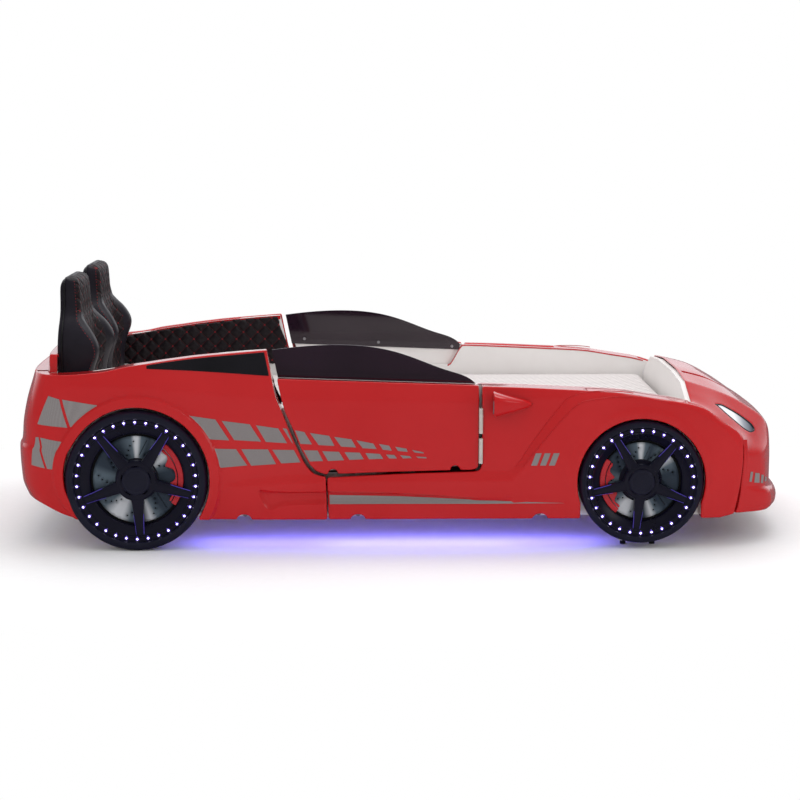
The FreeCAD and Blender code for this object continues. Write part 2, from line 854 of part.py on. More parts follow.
def side_board(side, sign):
    """The load-bearing side panel with its door cut-out and the two feet behind the wheels."""
    inner = S.inside_half_width.value
    inset = S.wall.value + S.fit_gap.value
    back = S.tail_board_x.value
    rear_top = [(back, S.quarter_tail_z.value - inset)]
    rear_top += [spot(name, 0, -inset) for name in ("quarter_rear", "quarter_mid", "quarter_shoulder")]
    rear_top += [spot("quarter_peak", -inset, -inset)]
    slant = [rear_top[-1], spot("slant_high", -inset, 0),
             (S.slant_high_x.value + S.slant_foot_step.value - inset, S.sill_height.value)]
    cut_out = [slant[-1], spot("cut_low"), spot("cut_turn"), spot("cut_high")]
    top = [spot("fender_heel", S.fender_top_step.value, -inset)]
    top += [spot(name, 0, -inset) for name in
            ("fender_a", "fender_b", "fender_c", "fender_d", "fender_e", "fender_f")]
    end_x = S.nose_board_x.value + S.board.value
    bottom = S.body_bottom.value
    feet = []
    for wheel in ("front", "rear"):
        axle = getattr(S, wheel + "_axle_x").value
        wide, narrow = S.leg_top_half.value, S.leg_foot_half.value
        feet += [(axle + wide, bottom), (axle + narrow, S.leg_bottom.value),
                 (axle - narrow, S.leg_bottom.value), (axle - wide, bottom)]
    under = [(end_x, S.nose_board_height.value - S.board_edge_step.value),
             (end_x, bottom + S.nose_foot_rise.value), (end_x - S.nose_foot_length.value, bottom)]
    under += feet
    under += [spot("tail_under", 0, 0), (back, S.tail_rise_z.value - S.tail_foot_rise.value),
              rear_top[0]]
    stretches = [rear_top, slant[:2], slant[1:]]
    stretches += [cut_out[i:i + 2] for i in range(3)]
    stretches += [[cut_out[-1], top[0]], top, [top[-1], under[0]]]
    stretches += [under[i:i + 2] for i in range(len(under) - 1)]
    face = chain(*stretches)
    face.translate(Vector(0, sign * inner, 0))
    profile = solid_feature("SideBoardProfile" + side, face)
    board = doc.addObject("Part::Extrusion", "SideBoard" + side)
    board.Base = profile
    board.DirMode = "Custom"
    board.Dir = Vector(0, sign, 0)
    board.Solid = True
    bind(board, LengthFwd=S.board)
    return node(f"side_board_{side}", board)


def cross_board(name, rear_face, corners):
    """A board across the bed, drawn from its rear face and padded forwards."""
    body = new_body(name.title().replace("_", ""))
    sketch = new_sketch(body, "YZ_Plane", name + "_outline", rear_face)
    draw_polygon(sketch, corners)
    add_pad(body, sketch, S.board)
    return node(name, body)


def cross_boards():
    """Tail board behind the seats, bulkhead at the foot end and the batten board inside the nose."""
    inner = S.inside_half_width
    inset = S.wall + S.fit_gap
    step = S.tail_lid_half_width - S.running_gap
    low = S.body_bottom + S.board_clearance
    high = S.tail_lid_height - S.fit_gap * 6
    shoulder = S.quarter_tail_z - inset
    right = [(-inner, low + S.shoulder_drop), (-inner, shoulder), (-step, shoulder), (-step, high)]
    left = [(-y, z) for y, z in reversed(right)]
    cross_board("tail_board", S.tail_board_x, right + left)
    right = [(-inner, low)]
    right += [(-(inner + as_dim(shift)), as_dim(height)) for shift, height in BULKHEAD_ROWS]
    left = [(-y, z) for y, z in reversed(right)]
    cross_board("bulkhead", S.bulkhead_x, right + left)
    shoulder = S.nose_board_height - S.shoulder_drop * 1.5
    right = [(-inner, low), (-inner, shoulder), (-inner + S.board_clearance, S.nose_board_height)]
    left = [(-y, z) for y, z in reversed(right)]
    cross_board("nose_board", S.nose_board_x, right + left)


# ---------------------------------------------------------------- doors

def door_parts(side, sign):
    """Moulded door skin, its board with the hinge batten, the smoke window and its screws."""
    board_inner = S.inside_half_width + S.board + S.door_clearance
    board_outer = board_inner + S.door_board
    wall = S.wall.value
    skin = side_block(board_outer.value, 0.0, sign).common(prism(door_outline()))
    hollow = side_block(board_outer.value - wall, -wall, sign).common(prism(door_outline(wall)))
    skin = skin.cut(hollow).cut(hinge_relief(sign))
    node(f"door_skin_{side}", solid_feature("DoorSkin" + side, one_solid(skin)))

    face = door_outline(wall + S.fit_gap.value)
    face.translate(Vector(0, sign * board_inner.value, 0))
    panel = doc.addObject("Part::Extrusion", "DoorPanel" + side)
    panel.Base = solid_feature("DoorPanelProfile" + side, face)
    panel.DirMode = "Custom"
    panel.Dir = Vector(0, sign, 0)
    panel.Solid = True
    bind(panel, LengthFwd=S.door_board)
    batten_y, batten_width = across(sign, board_outer, S.hinge_half_width - S.knuckle_radius - 3)
    front = S.door_corner_x - S.wall - S.fit_gap
    low = S.door_corner_z + S.wall * 2
    batten = make_box("DoorBatten" + side, front - S.post_width, S.post_width, batten_y, batten_width,
                      low, S.hinge_bottom + S.hinge_pitch + S.hinge_height + 6 - low)
    node(f"door_board_{side}", fuse("DoorBoard" + side, [panel, batten]))

    window_y = board_inner - S.window_sheet
    low_rear, rear, tip, low_front = (spot(name) for name in
                                      ("pane_low_rear", "pane_rear", "pane_tip", "pane_low_front"))
    crown = [rear] + [spot("pane_" + name) for name in ("crown", "a", "b", "c", "d", "tip")]
    face = chain([low_rear, rear], crown, [tip, low_front], [low_front, low_rear])
    face.translate(Vector(0, sign * window_y.value, 0))
    pane = doc.addObject("Part::Extrusion", "Window" + side)
    pane.Base = solid_feature("WindowProfile" + side, face)
    pane.DirMode = "Custom"
    pane.Dir = Vector(0, sign, 0)
    pane.Solid = True
    bind(pane, LengthFwd=S.window_sheet)
    node(f"door_window_{side}", pane)

    screws = []
    for letter in "abc":
        x, z = point("screw_" + letter)
        start = -window_y if sign < 0 else window_y
        head = make_rod(f"WindowScrew{side}{letter}", -sign, x, start, z, S.screw_head_radius,
                        S.window_sheet)
        screws.append(head)
    node(f"window_screws_{side}", group("WindowScrews" + side, screws))


def hinge_leaf(name, side, sign, number, fixed):
    """One leaf of a butt hinge: its plate and its share of the knuckles."""
    low = S.hinge_bottom + S.hinge_pitch * number
    pitch = S.hinge_height / S.knuckle_count
    axis_y = S.hinge_half_width * sign
    if fixed:
        plate_x = S.fender_heel_x - S.leaf
    else:
        plate_x = S.door_corner_x
    edge = S.hinge_half_width - S.knuckle_radius - S.running_gap
    plate_y, plate_width = across(sign, S.hinge_half_width - S.leaf_depth, edge)
    tag = f"{name}{side}{number}"
    parts = [make_box(tag + "Plate", plate_x, S.leaf, plate_y, plate_width, low, S.hinge_height)]
    web_y, web_width = across(sign, edge - 1, S.hinge_half_width)
    for knuckle in range(int(S.knuckle_count.value)):
        if (knuckle % 2 == 0) != fixed:
            continue
        bottom = low + pitch * knuckle + S.knuckle_gap / 2
        height = pitch - S.knuckle_gap
        parts.append(make_rod(f"{tag}Knuckle{knuckle}", "z", S.hinge_x, axis_y, bottom,
                              S.knuckle_radius, height))
        parts.append(make_box(f"{tag}Web{knuckle}", plate_x, S.leaf, web_y, web_width, bottom, height))
    body = fuse(tag + "Blank", parts)
    pin_radius = S.pin_radius if fixed else S.pin_radius + S.fit_gap
    pin = make_rod(tag + "Pin", "z", S.hinge_x, axis_y, low, pin_radius, S.hinge_height)
    if fixed:
        return fuse(tag, [body, pin])
    return cut(tag, body, pin)


def hinges():
    """Two butt hinges a door: fixed leaves with their pins, and the leaves that swing."""
    fixed = []
    posts = []
    for side, sign in SIDES:
        swinging = []
        for number in range(2):
            fixed.append(hinge_leaf("FixedLeaf", side, sign, number, True))
            swinging.append(hinge_leaf("DoorLeaf", side, sign, number, False))
        node(f"door_hinge_leaves_{side}", group("DoorLeaves" + side, swinging))
        inner = S.inside_half_width + S.board
        post_y, post_width = across(sign, inner, S.hinge_half_width - S.knuckle_radius - S.post_clearance)
        posts.append(make_box("HingePost" + side, S.fender_heel_x + S.wall + S.fit_gap, S.post_width,
                              post_y, post_width, S.hinge_bottom - S.post_overhang,
                              S.hinge_pitch + S.hinge_height + S.post_overhang * 2))
    node("frame_hinge_leaves", group("FrameLeaves", fixed))
    node("hinge_posts", group("HingePosts", posts))


def door_catches():
    """A magnet catch on the sill under each door."""
    blocks = []
    for side, sign in SIDES:
        x, z = point("catch")
        inner = S.inside_half_width + S.board
        start, width = across(sign, inner + S.door_board + S.catch_clearance,
                              S.belt_half_width - S.catch_inset)
        blocks.append(make_box("Catch" + side, x - S.catch_length / 2, S.catch_length, start, width,
                               z - S.seam_gap * 2.2, S.catch_height))
    node("door_catches", group("DoorCatches", blocks))


# ---------------------------------------------------------------- wheels

def wheel_place(body, wheel, sign):
    """Stands a wheel part, drawn with its axle along Y, against the side board."""
    if sign < 0:
        body.Placement = Placement(Vector(0, 0, 0), Rotation(Vector(0, 0, 1), 180))
    back = (S.inside_half_width + S.board) * sign
    place(body, getattr(S, wheel + "_axle_x"), back, getattr(S, wheel + "_axle_z"))


def turned_part(name, profile):
    """A body turned about the wheel axle from radius and depth corners."""
    body = new_body(name)
    sketch = new_sketch(body, "XY_Plane", name + "Profile")
    draw_polygon(sketch, profile)
    add_revolution(body, sketch)
    return body


def tyre(wheel, side, sign):
    outer = getattr(S, wheel + "_tyre_radius")
    inner = outer - S.tyre_wall
    face = S.wheel_face
    profile = [(inner, 0), (outer - 5, 0), (outer, 8), (outer, face - 14), (outer - 4, face - 4),
               (outer - 11, face), (inner, face)]
    body = turned_part(f"Tyre{wheel}{side}", profile)
    wheel_place(body, wheel, sign)
    return node(f"tyre_{wheel}_{side}", body)


def rim(wheel, side, sign):
    """Dished rim with five flat spokes and a hub, open between the spokes."""
    seat = getattr(S, wheel + "_tyre_radius") - S.tyre_wall
    led = getattr(S, wheel + "_led_radius")
    well = led - S.led_step * 2
    lip = S.wheel_face - S.rim_lip_recess
    step = lip - S.rim_step_depth
    profile = [(well, 0), (seat, 0), (seat, lip), (seat - S.rim_lip, lip), (led + S.led_step, step),
               (led - S.led_step, step), (well + S.wall, lip - S.rim_well_depth),
               (well + S.wall, S.wall), (well, S.wall)]
    body = turned_part(f"Rim{wheel}{side}", profile)
    top = S.wheel_face - S.spoke_recess
    spoke = new_sketch(body, "XZ_Plane", f"Spoke{wheel}{side}", -top)
    root, tip = S.spoke_root / 2, S.spoke_tip / 2
    foot = S.hub_radius / 2
    reach = well + S.spoke_seat
    draw_polygon(spoke, [(-root, -foot), (root, -foot), (tip, -reach), (-tip, -reach)])
    arm = add_pad(body, spoke, S.spoke_thickness)
    repeat_around(body, arm, S.spoke_count)
    hub = new_sketch(body, "XZ_Plane", f"Hub{wheel}{side}", -(top + S.hub_proud))
    draw_circle(hub, 0, 0, S.hub_radius + S.hub_flange)
    add_pad(body, hub, S.spoke_thickness + S.hub_proud)
    wheel_place(body, wheel, sign)
    return node(f"rim_{wheel}_{side}", body)


def led_strip(wheel, side, sign):
    """The light strip in the rim's step: a flat ring with one bead for each light."""
    led = getattr(S, wheel + "_led_radius")
    floor = S.wheel_face - S.led_recess
    inner, outer = led - S.led_band_half, led + S.led_band_half
    face = floor + S.led_band
    profile = [(inner, floor), (outer, floor), (outer, face), (inner, face)]
    body = turned_part(f"Leds{wheel}{side}", profile)
    bead = new_sketch(body, "XZ_Plane", f"Bead{wheel}{side}", -(floor + 1))
    draw_circle(bead, 0, -led, S.led_radius)
    dot = add_pad(body, bead, S.led_bead_depth, back=True)
    repeat_around(body, dot, getattr(S, wheel + "_led_count"))
    wheel_place(body, wheel, sign)
    return node(f"led_strip_{wheel}_{side}", body)


def brake_disc(wheel, side, sign):
    """The drilled silver disc on its carrier, behind the spokes."""
    radius = getattr(S, wheel + "_disc_radius")
    depth = S.wheel_face - S.disc_recess
    hat = S.hub_radius + S.disc_hat_flange
    profile = [(0, 0), (hat, 0), (hat, depth), (radius, depth), (radius, depth + S.disc_thickness),
               (0, depth + S.disc_thickness)]
    body = turned_part(f"Disc{wheel}{side}", profile)
    hole = new_sketch(body, "XZ_Plane", f"DiscHole{wheel}{side}", -(depth + S.disc_thickness))
    draw_circle(hole, 0, -(radius - S.disc_outer_holes), S.disc_hole_radius)
    draw_circle(hole, S.disc_hole_offset, -(radius - S.disc_inner_holes), S.disc_hole_radius)
    drilled = add_pocket(body, hole, S.disc_thickness)
    repeat_around(body, drilled, S.disc_hole_count)
    wheel_place(body, wheel, sign)
    return body


def caliper(wheel, side, sign):
    """A curved brake caliper on the disc, on the side that faces the middle of the bed."""
    radius = getattr(S, wheel + "_disc_radius")
    depth = S.wheel_face - 44 + S.disc_thickness
    body = new_body(f"Caliper{wheel}{side}")
    sketch = new_sketch(body, "XZ_Plane", f"CaliperFace{wheel}{side}", -(depth + S.caliper_thickness))
    inward = -1 if wheel == "front" else 1
    facing = inward * sign
    corners = []
    half_angle = S.caliper_angle.value / 2
    for share, scale in ((-1, 0.62), (-1, 0.98), (-0.5, 1.0), (0.5, 1.0), (1, 0.98), (1, 0.62),
                         (0.5, 0.68), (-0.5, 0.68)):
        angle = math.radians(share * half_angle)
        corners.append((radius * (scale * math.cos(angle) * facing),
                        radius * (scale * math.sin(angle))))
    draw_polygon(sketch, corners)
    add_pad(body, sketch, S.caliper_thickness)
    wheel_place(body, wheel, sign)
    return body


def hub_cap(wheel, side, sign):
    floor = S.wheel_face - 10
    profile = [(0, floor), (S.hub_radius, floor), (S.hub_radius, floor + 6), (S.hub_radius - 3, floor + 9),
               (0, floor + 9)]
    body = turned_part(f"HubCap{wheel}{side}", profile)
    wheel_place(body, wheel, sign)
    return body


def wheels():
    discs, calipers, caps = [], [], []
    for wheel in WHEELS:
        for side, sign in SIDES:
            tyre(wheel, side, sign)
            rim(wheel, side, sign)
            led_strip(wheel, side, sign)
            discs.append(brake_disc(wheel, side, sign))
            calipers.append(caliper(wheel, side, sign))
            caps.append(hub_cap(wheel, side, sign))
    node("brake_discs", group("BrakeDiscs", discs))
    node("brake_calipers", group("BrakeCalipers", calipers))
    node("hub_caps", group("HubCaps", caps))


# ---------------------------------------------------------------- base, mattress and soft parts

def slatted_base():
    """Rails on the side boards, a middle beam, and the slats that lie on them."""
    top = S.mattress_underside - S.slat_thickness
    start = S.tail_board_x + S.board + S.fit_gap
    length = S.bulkhead_x - S.fit_gap - start
    rails = []
    for side, sign in SIDES:
        inner = S.inside_half_width
        rail_y, rail_width = across(sign, inner - S.rail_width, inner)
        rails.append(make_box("Rail" + side, start, length, rail_y, rail_width, top - S.rail_height,
                              S.rail_height))
    rails.append(make_box("MiddleBeam", start - S.fit_gap, length + S.fit_gap * 2,
                          -(S.beam_width / 2), S.beam_width, top - S.beam_height, S.beam_height))
    node("slat_rails", group("SlatRails", rails))
    half = S.inside_half_width - S.running_gap
    first = start + S.first_slat
    slats = []
    for number in range(int(S.slat_count.value)):
        slats.append(make_box(f"Slat{number}", first + S.slat_pitch * number, S.slat_width, -half,
                              half * 2, top, S.slat_thickness))
    node("slats", group("SlatSet", slats))


def mattress():
    """A foam mattress with rounded edges, lying on the slats."""
    body = new_body("Mattress")
    sketch = new_sketch(body, "XY_Plane", "MattressOutline", S.mattress_underside)
    front = S.bulkhead_x - S.foot_end_gap
    back = front - S.mattress_length
    half = S.mattress_width / 2
    draw_polygon(sketch, [(back, -half), (front, -half), (front, half), (back, half)])
    pad = add_pad(body, sketch, S.mattress_thickness)
    doc.recompute()
    rounding = body.newObject("PartDesign::Fillet", "MattressRound")
    rounding.Base = (pad, [f"Edge{n}" for n in range(1, len(pad.Shape.Edges) + 1)])
    bind(rounding, Radius=S.mattress_round)
    return node("mattress", body)


def seat_front_face(inset):
    """Front view of a seat: full width, waisted at the neck, with a rounded headrest."""
    half = S.seat_half_width.value - inset
    head = S.head_half_width.value - inset
    low = S.seat_bottom.value
    shoulder = S.seat_shoulder_height.value
    neck = S.head_bottom.value
    top = S.seat_top.value
    right = [(half - 12, low), (half, (low + shoulder) / 2), (half - 8, shoulder - 20),
             (half - 34, shoulder + 18), (head + 8, neck), (head, neck + 34)]
    crown = [(head, neck + 34), (head - 3, top - 32), (head - 26, top - 6), (0, top),
             (-head + 26, top - 6), (-head + 3, top - 32), (-head, neck + 34)]
    left = [(-y, z) for y, z in reversed(right)]

    def stretch(points):
        spline = Part.BSplineCurve()
        spline.interpolate([Vector(0, y, z) for y, z in points])
        return spline.toShape()

    base = Part.LineSegment(Vector(0, left[-1][0], low), Vector(0, right[0][0], low)).toShape()
    return Part.Face(Part.Wire([stretch(right), stretch(crown), stretch(left), base]))


def seat(side, sign):
    """A padded bucket backrest: side wings, hollow middle with sewn channels, and headrest."""
    flank = chain(list(SEAT_SIDE[:2]), list(SEAT_SIDE[1:8]), list(SEAT_SIDE[7:]))
    back = S.tail_board_x.value + S.board.value + S.seat_back_board.value + S.fit_gap.value
    flank.translate(Vector(back, -REACH, 0))
    block = flank.extrude(Vector(0, 2 * REACH, 0))
    front = seat_front_face(0.0)
    front.translate(Vector(-2 * REACH, 0, 0))
    block = block.common(front.extrude(Vector(2 * REACH, 0, 0)))
    channel = S.seat_channel_half.value
    floor = back + S.seat_pad.value
    neck = S.head_bottom.value
    hollow = Part.makeBox(200, 2 * channel, neck - S.seat_bottom.value - 40 + 1,
                          Vector(floor, -channel, S.seat_bottom.value - 1))
    hollow = hollow.makeFillet(30, [edge for edge in hollow.Edges
                                    if edge.BoundBox.XMax < floor + 1 and edge.BoundBox.YLength < 1])
    block = block.cut(hollow)
    for row in range(int(S.seat_channel_count.value)):
        height = S.seat_bottom.value + (row + 1) * S.seat_channel_pitch.value
        groove = Part.makeCylinder(4, 2 * channel - 8, Vector(floor, -channel + 4, height), Vector(0, 1, 0))
        block = block.cut(groove)
    block.translate(Vector(0, sign * S.seat_centre.value, 0))
    node(f"seat_cushion_{side}", solid_feature("SeatCushion" + side, one_solid(block)))
    board_x = S.tail_board_x + S.board
    half = S.seat_half_width - S.seat_board_inset
    centre = S.seat_centre * sign
    body = new_body("SeatBack" + side)
    sketch = new_sketch(body, "YZ_Plane", "SeatBackOutline" + side, board_x)
    head = S.head_half_width - S.seat_board_head_inset
    low = S.seat_bottom + S.seat_board_lift
    right = [(half, low), (half, S.seat_shoulder_height), (head, S.head_bottom), (head, S.head_bottom + 50),
             (head - 20, S.head_bottom + 74)]
    corners = [(centre + y, z) for y, z in right] + [(centre - y, z) for y, z in reversed(right)]
    draw_polygon(sketch, corners)
    add_pad(body, sketch, S.seat_back_board)
    node(f"seat_back_board_{side}", body)


def lining_outline(inset, depth):
    """Side view of the quilted lining, drawn in by inset, at a distance from the middle."""
    gap = S.wall.value + S.fit_gap.value + S.seam_gap.value + inset
    back = S.tail_board_x.value + S.board.value + S.seat_back_board.value + S.lining_start.value + inset
    low = S.lining_bottom.value + inset
    top = [(back, S.quarter_tail_z.value - inset)]
    top += [spot(name, 0, -gap) for name in ("quarter_mid", "quarter_shoulder")]
    top += [spot("quarter_peak", -S.lining_peak_step.value - inset, -gap)]
    foot = (S.slant_high_x.value + S.lining_front.value - S.lining_foot_step.value - inset, low)
    face = chain(top, [top[-1], foot], [foot, (back, low)], [(back, low), top[0]])
    face.translate(Vector(0, -depth, 0))
    return face


def side_lining(side, sign):
    """The quilted pad on the inside of a rear quarter: flat back, crowned face with drawn-in rim."""
    outer = S.inside_half_width.value
    crown = S.lining_round.value
    back = lining_outline(0.0, outer).extrude(Vector(0, S.lining.value - crown, 0))
    wires = [lining_outline(inset, outer - S.lining.value + depth).OuterWire
             for inset, depth in ((0.0, crown), (crown / 3, crown / 3), (crown, 0.0))]
    pad = back.fuse(Part.makeLoft(wires, True, True))
    if sign > 0:
        pad = pad.mirror(Vector(0, 0, 0), Vector(0, 1, 0))
    return node(f"side_lining_{side}", solid_feature("SideLining" + side, one_solid(pad)))


# ---------------------------------------------------------------- trim, lights and fasteners

def quarter_window(side, sign):
    """The black gloss strip that continues the window line over the rear quarter."""
    face = chain([spot("trim_tip"), spot("trim_mid"), spot("trim_low")],
                 [spot("trim_low"), spot("quarter_peak", -4, -4)],
                 [spot("quarter_peak", -4, -4), spot("quarter_shoulder", 0, -4),
                  spot("quarter_mid", 0, -4)])
    inner = S.inside_half_width.value
    strip = side_block(inner, S.window_trim.value, sign).cut(side_block(inner - 1, 0.0, sign))
    strip = strip.common(prism(face))
    return node(f"quarter_window_{side}", solid_feature("QuarterWindow" + side, one_solid(strip)))


def mirrors():
    """Wing mirrors: a wedge-shaped housing on each fender and the glass on its rear face."""
    glasses = []
    for side, sign in SIDES:
        skin = S.belt_half_width.value
        low = S.mirror_bottom.value
        high = low + S.mirror_height.value
        rear_x = (S.hinge_x + S.knuckle_radius + S.seam_gap + S.mirror_setback).value
        tip_x = rear_x + S.mirror_length.value
        reach = S.mirror_base.value
        wires = []
        for share in (0.0, 0.5, 1.0):
            x = rear_x + (tip_x - rear_x) * share
            out = skin + reach * (1 - share ** 1.4) * 0.92 + 3
            lower = low + share * S.pod_tip_rise.value
            upper = high - share * S.pod_tip_drop.value
            slope = 0.3 * (upper - lower)
            corners = [Vector(x, sign * (skin - 40), lower), Vector(x, sign * out, lower + 6),
                       Vector(x, sign * out, upper - slope), Vector(x, sign * (skin - 40), upper)]
            wires.append(Part.makePolygon(corners + corners[:1]))
        pod = Part.makeLoft(wires, True, True)
        pod = pod.cut(side_block(0.0, 0.0, sign))
        node(f"mirror_housing_{side}", solid_feature("MirrorHousing" + side, one_solid(pod)))
        inner = S.belt_half_width + 6
        start, width = across(sign, inner, inner + S.mirror_base - S.glass_edge)
        plate_x = S.hinge_x + S.knuckle_radius + S.seam_gap + S.mirror_setback - S.mirror_glass
        glasses.append(make_box("MirrorGlass" + side, plate_x, S.mirror_glass, start, width,
                                S.mirror_bottom + S.glass_lift, S.mirror_height * 0.5))
    node("mirror_glasses", group("MirrorGlasses", glasses))


def under_lights():
    """Light strips on the inner faces of the side boards, just under the floor line."""
    strips = []
    for side, sign in SIDES:
        inner = S.inside_half_width
        start, width = across(sign, inner - S.strip_width, inner)
        strips.append(make_box("UnderLight" + side, -(S.strip_length / 2) - S.strip_setback,
                               S.strip_length, start, width, S.body_bottom, S.strip_height))
    node("under_light_strips", group("UnderLights", strips))
    board_y = -S.inside_half_width
    node("light_controller", make_box("LightController",
                                      S.tail_board_x + S.board + S.controller_offset,
                                      S.controller_length, board_y, S.controller_height,
                                      S.body_bottom + S.controller_lift, S.controller_width))


def fasteners():
    """Round bolt heads in the sill notches, and the glides under the four board feet."""
    bolts = []
    for side, sign in SIDES:
        start = (S.inside_half_width + S.board) * sign
        for letter in "abc":
            x, z = point("notch_" + letter)
            bolts.append(make_rod(f"Bolt{side}{letter}", sign, x, start, z + S.bolt_radius,
                                  S.bolt_radius, S.bolt_head))
    node("sill_bolts", group("SillBolts", bolts))
    glides = []
    for side, sign in SIDES:
        middle = (S.inside_half_width + S.board / 2) * sign
        for wheel in WHEELS:
            axle = getattr(S, wheel + "_axle_x")
            for end in (-1, 1):
                x = axle + (S.leg_foot_half - S.glide_radius - 4) * end
                glides.append(make_rod(f"Glide{side}{wheel}{end + 1}", "z", x, middle, 0,
                                       S.glide_radius, S.leg_bottom))
    node("glides", group("Glides", glides))


# ---------------------------------------------------------------- build and export

def build():
    for side, sign in SIDES:
        quarter_cover(side, sign)
        fender_cover(side, sign)
        side_board(side, sign)
        door_parts(side, sign)
        seat(side, sign)
        side_lining(side, sign)
        quarter_window(side, sign)
    front_cover()
    rear_cover()
    lamps()
    cross_boards()
    hinges()
    door_catches()
    wheels()
    slatted_base()
    mattress()
    mirrors()
    under_lights()
    fasteners()
    doc.recompute()


def check_and_export():
    """Refuses a broken model, then writes one file for each sub-part."""
    for thing in doc.Objects:
        bad = {"Invalid", "Error"} & set(thing.State)
        if bad:
            raise RuntimeError(f"{thing.Label}: {thing.State}")
    os.makedirs("parts", exist_ok=True)
    for name, thing in sorted(nodes.items()):
        shape = thing.Shape
        if shape.isNull() or not shape.isValid() or not shape.Solids:
            raise RuntimeError(f"{name} is not a valid solid")
    for name, thing in sorted(nodes.items()):
        thing.Shape.exportStep(os.path.join("parts", name + ".step"))
    print(len(nodes), "sub-parts")


build()
check_and_export()
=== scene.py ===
"""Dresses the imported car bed: moulded skins, doors, wheels, seats, lining, mattress, lights and camera."""
import math
import bmesh
import bpy
import numpy as np
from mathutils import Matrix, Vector
from mathutils.geometry import delaunay_2d_cdt


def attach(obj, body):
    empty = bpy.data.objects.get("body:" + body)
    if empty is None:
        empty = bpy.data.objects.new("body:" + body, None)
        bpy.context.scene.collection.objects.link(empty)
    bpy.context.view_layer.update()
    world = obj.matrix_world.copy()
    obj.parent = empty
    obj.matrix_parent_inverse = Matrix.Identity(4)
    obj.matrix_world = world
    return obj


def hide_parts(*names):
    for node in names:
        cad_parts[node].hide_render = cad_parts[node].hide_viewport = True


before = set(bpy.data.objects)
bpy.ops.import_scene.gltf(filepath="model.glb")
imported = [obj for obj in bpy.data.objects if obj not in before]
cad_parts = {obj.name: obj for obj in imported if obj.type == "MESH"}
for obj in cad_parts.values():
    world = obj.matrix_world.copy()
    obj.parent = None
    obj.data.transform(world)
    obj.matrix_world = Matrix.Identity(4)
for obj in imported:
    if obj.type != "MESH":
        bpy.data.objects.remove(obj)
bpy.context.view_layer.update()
MM = 0.001
SIDES = (("right", -1), ("left", 1))
# A wheel's axle in side view, its radii, its light strip's beads, how far its spokes are turned, where its
# caliper stands, and the middle ("spot") and radius of the arch in the cover.
REAR_WHEEL = dict(x=-814, z=216, tyre=215, led=180.4, beads=34, disc=134, cap=42.5, turn=-3, caliper=8,
                  spot=(-813, 220), arch=222, band=31, lip=8.5)
FRONT_WHEEL = dict(x=720, z=207, tyre=190, led=159.2, beads=30, disc=118, cap=39, turn=5, caliper=190,
                   spot=(718.5, 208), arch=195.5, band=28, lip=5.0)
# The body's plan: straight sides between two rounded ends, in mm along the body.
HALF_WIDTH = 545.0
TAIL_START, TAIL_LENGTH, TAIL_ROUND = -850.0, 352.0, 5.0
NOSE_START, NOSE_LENGTH, NOSE_ROUND = 870.0, 308.0, 3.0
LID_HALF = 541.0
# Faces across the bed: the side boards' two faces, the plane the covers end at, and the one the doors end at.
BOARD_IN, BOARD_OUT, COVER_PLANE, DOOR_PLANE = 459.0, 479.0, 480.0, 499.0
DOUBLED = 0.8  # Points of an outline nearer than this are one.
RIM_CLEAR = 2.5  # A crease ends this far from a rim.
END_RETURN = 24.0  # How far a skin's rim turns in where it faces along the bed.
FILM_LIFT, FILM_INSET = 0.8, 5.0  # A printed film's height over its skin, and its distance from the skin's rim.


# ---------------------------------------------------------------- numbers and curves

def smooth(low, high, value):
    """A soft step from 0 to 1 between two limits."""
    share = np.clip((value - low) / (high - low), 0.0, 1.0)
    return share * share * (3 - 2 * share)


def hermite(t, h, first, last, slope_a, slope_b):
    """The cubic through two values with the given slopes, at the share t of a step h."""
    return ((2 * t ** 3 - 3 * t ** 2 + 1) * first + (t ** 3 - 2 * t ** 2 + t) * h * slope_a
            + (3 * t ** 2 - 2 * t ** 3) * last + (t ** 3 - t ** 2) * h * slope_b)


def through(xs, ys):
    """A smooth curve through knots that never overshoots them."""
    xs, ys = np.array(xs, float), np.array(ys, float)
    step = np.diff(xs)
    rise = np.diff(ys, axis=0) / (step if ys.ndim == 1 else step[:, None])
    slope = np.zeros_like(ys)
    slope[0], slope[-1] = rise[0], rise[-1]
    for i in range(1, len(xs) - 1):
        w1, w2 = 2 * step[i] + step[i - 1], step[i] + 2 * step[i - 1]
        same = rise[i - 1] * rise[i] > 0
        safe_a = np.where(same, rise[i - 1], 1.0)
        safe_b = np.where(same, rise[i], 1.0)
        slope[i] = np.where(same, (w1 + w2) / (w1 / safe_a + w2 / safe_b), 0.0)

    def at(q):
        q = np.clip(np.asarray(q, float), xs[0], xs[-1])
        i = np.clip(np.searchsorted(xs, q) - 1, 0, len(xs) - 2)
        h = step[i]
        t = (q - xs[i]) / h
        if ys.ndim > 1:
            h, t = h[..., None], t[..., None]
        return hermite(t, h, ys[i], ys[i + 1], slope[i], slope[i + 1])
    return at


def run(points, step=7.0):
    """Points a step apart along a smooth line through the given ones; two points make it straight."""
    points = np.array(points, float)
    length = np.r_[0, np.cumsum(np.linalg.norm(np.diff(points, axis=0), axis=1))]
    count = max(1, int(round(length[-1] / step)))
    where = np.linspace(0, length[-1], count + 1)
    if len(points) == 2:
        return points[0] + (points[1] - points[0]) * (where / length[-1])[:, None]
    tangent = np.zeros_like(points)
    tangent[1:-1] = (points[2:] - points[:-2]) / (length[2:] - length[:-2])[:, None]
    tangent[0] = (points[1] - points[0]) / (length[1] - length[0])
    tangent[-1] = (points[-1] - points[-2]) / (length[-1] - length[-2])
    i = np.clip(np.searchsorted(length, where) - 1, 0, len(points) - 2)
    h = (length[i + 1] - length[i])[:, None]
    t = (where - length[i])[:, None] / h
    return hermite(t, h, points[i], points[i + 1], tangent[i], tangent[i + 1])


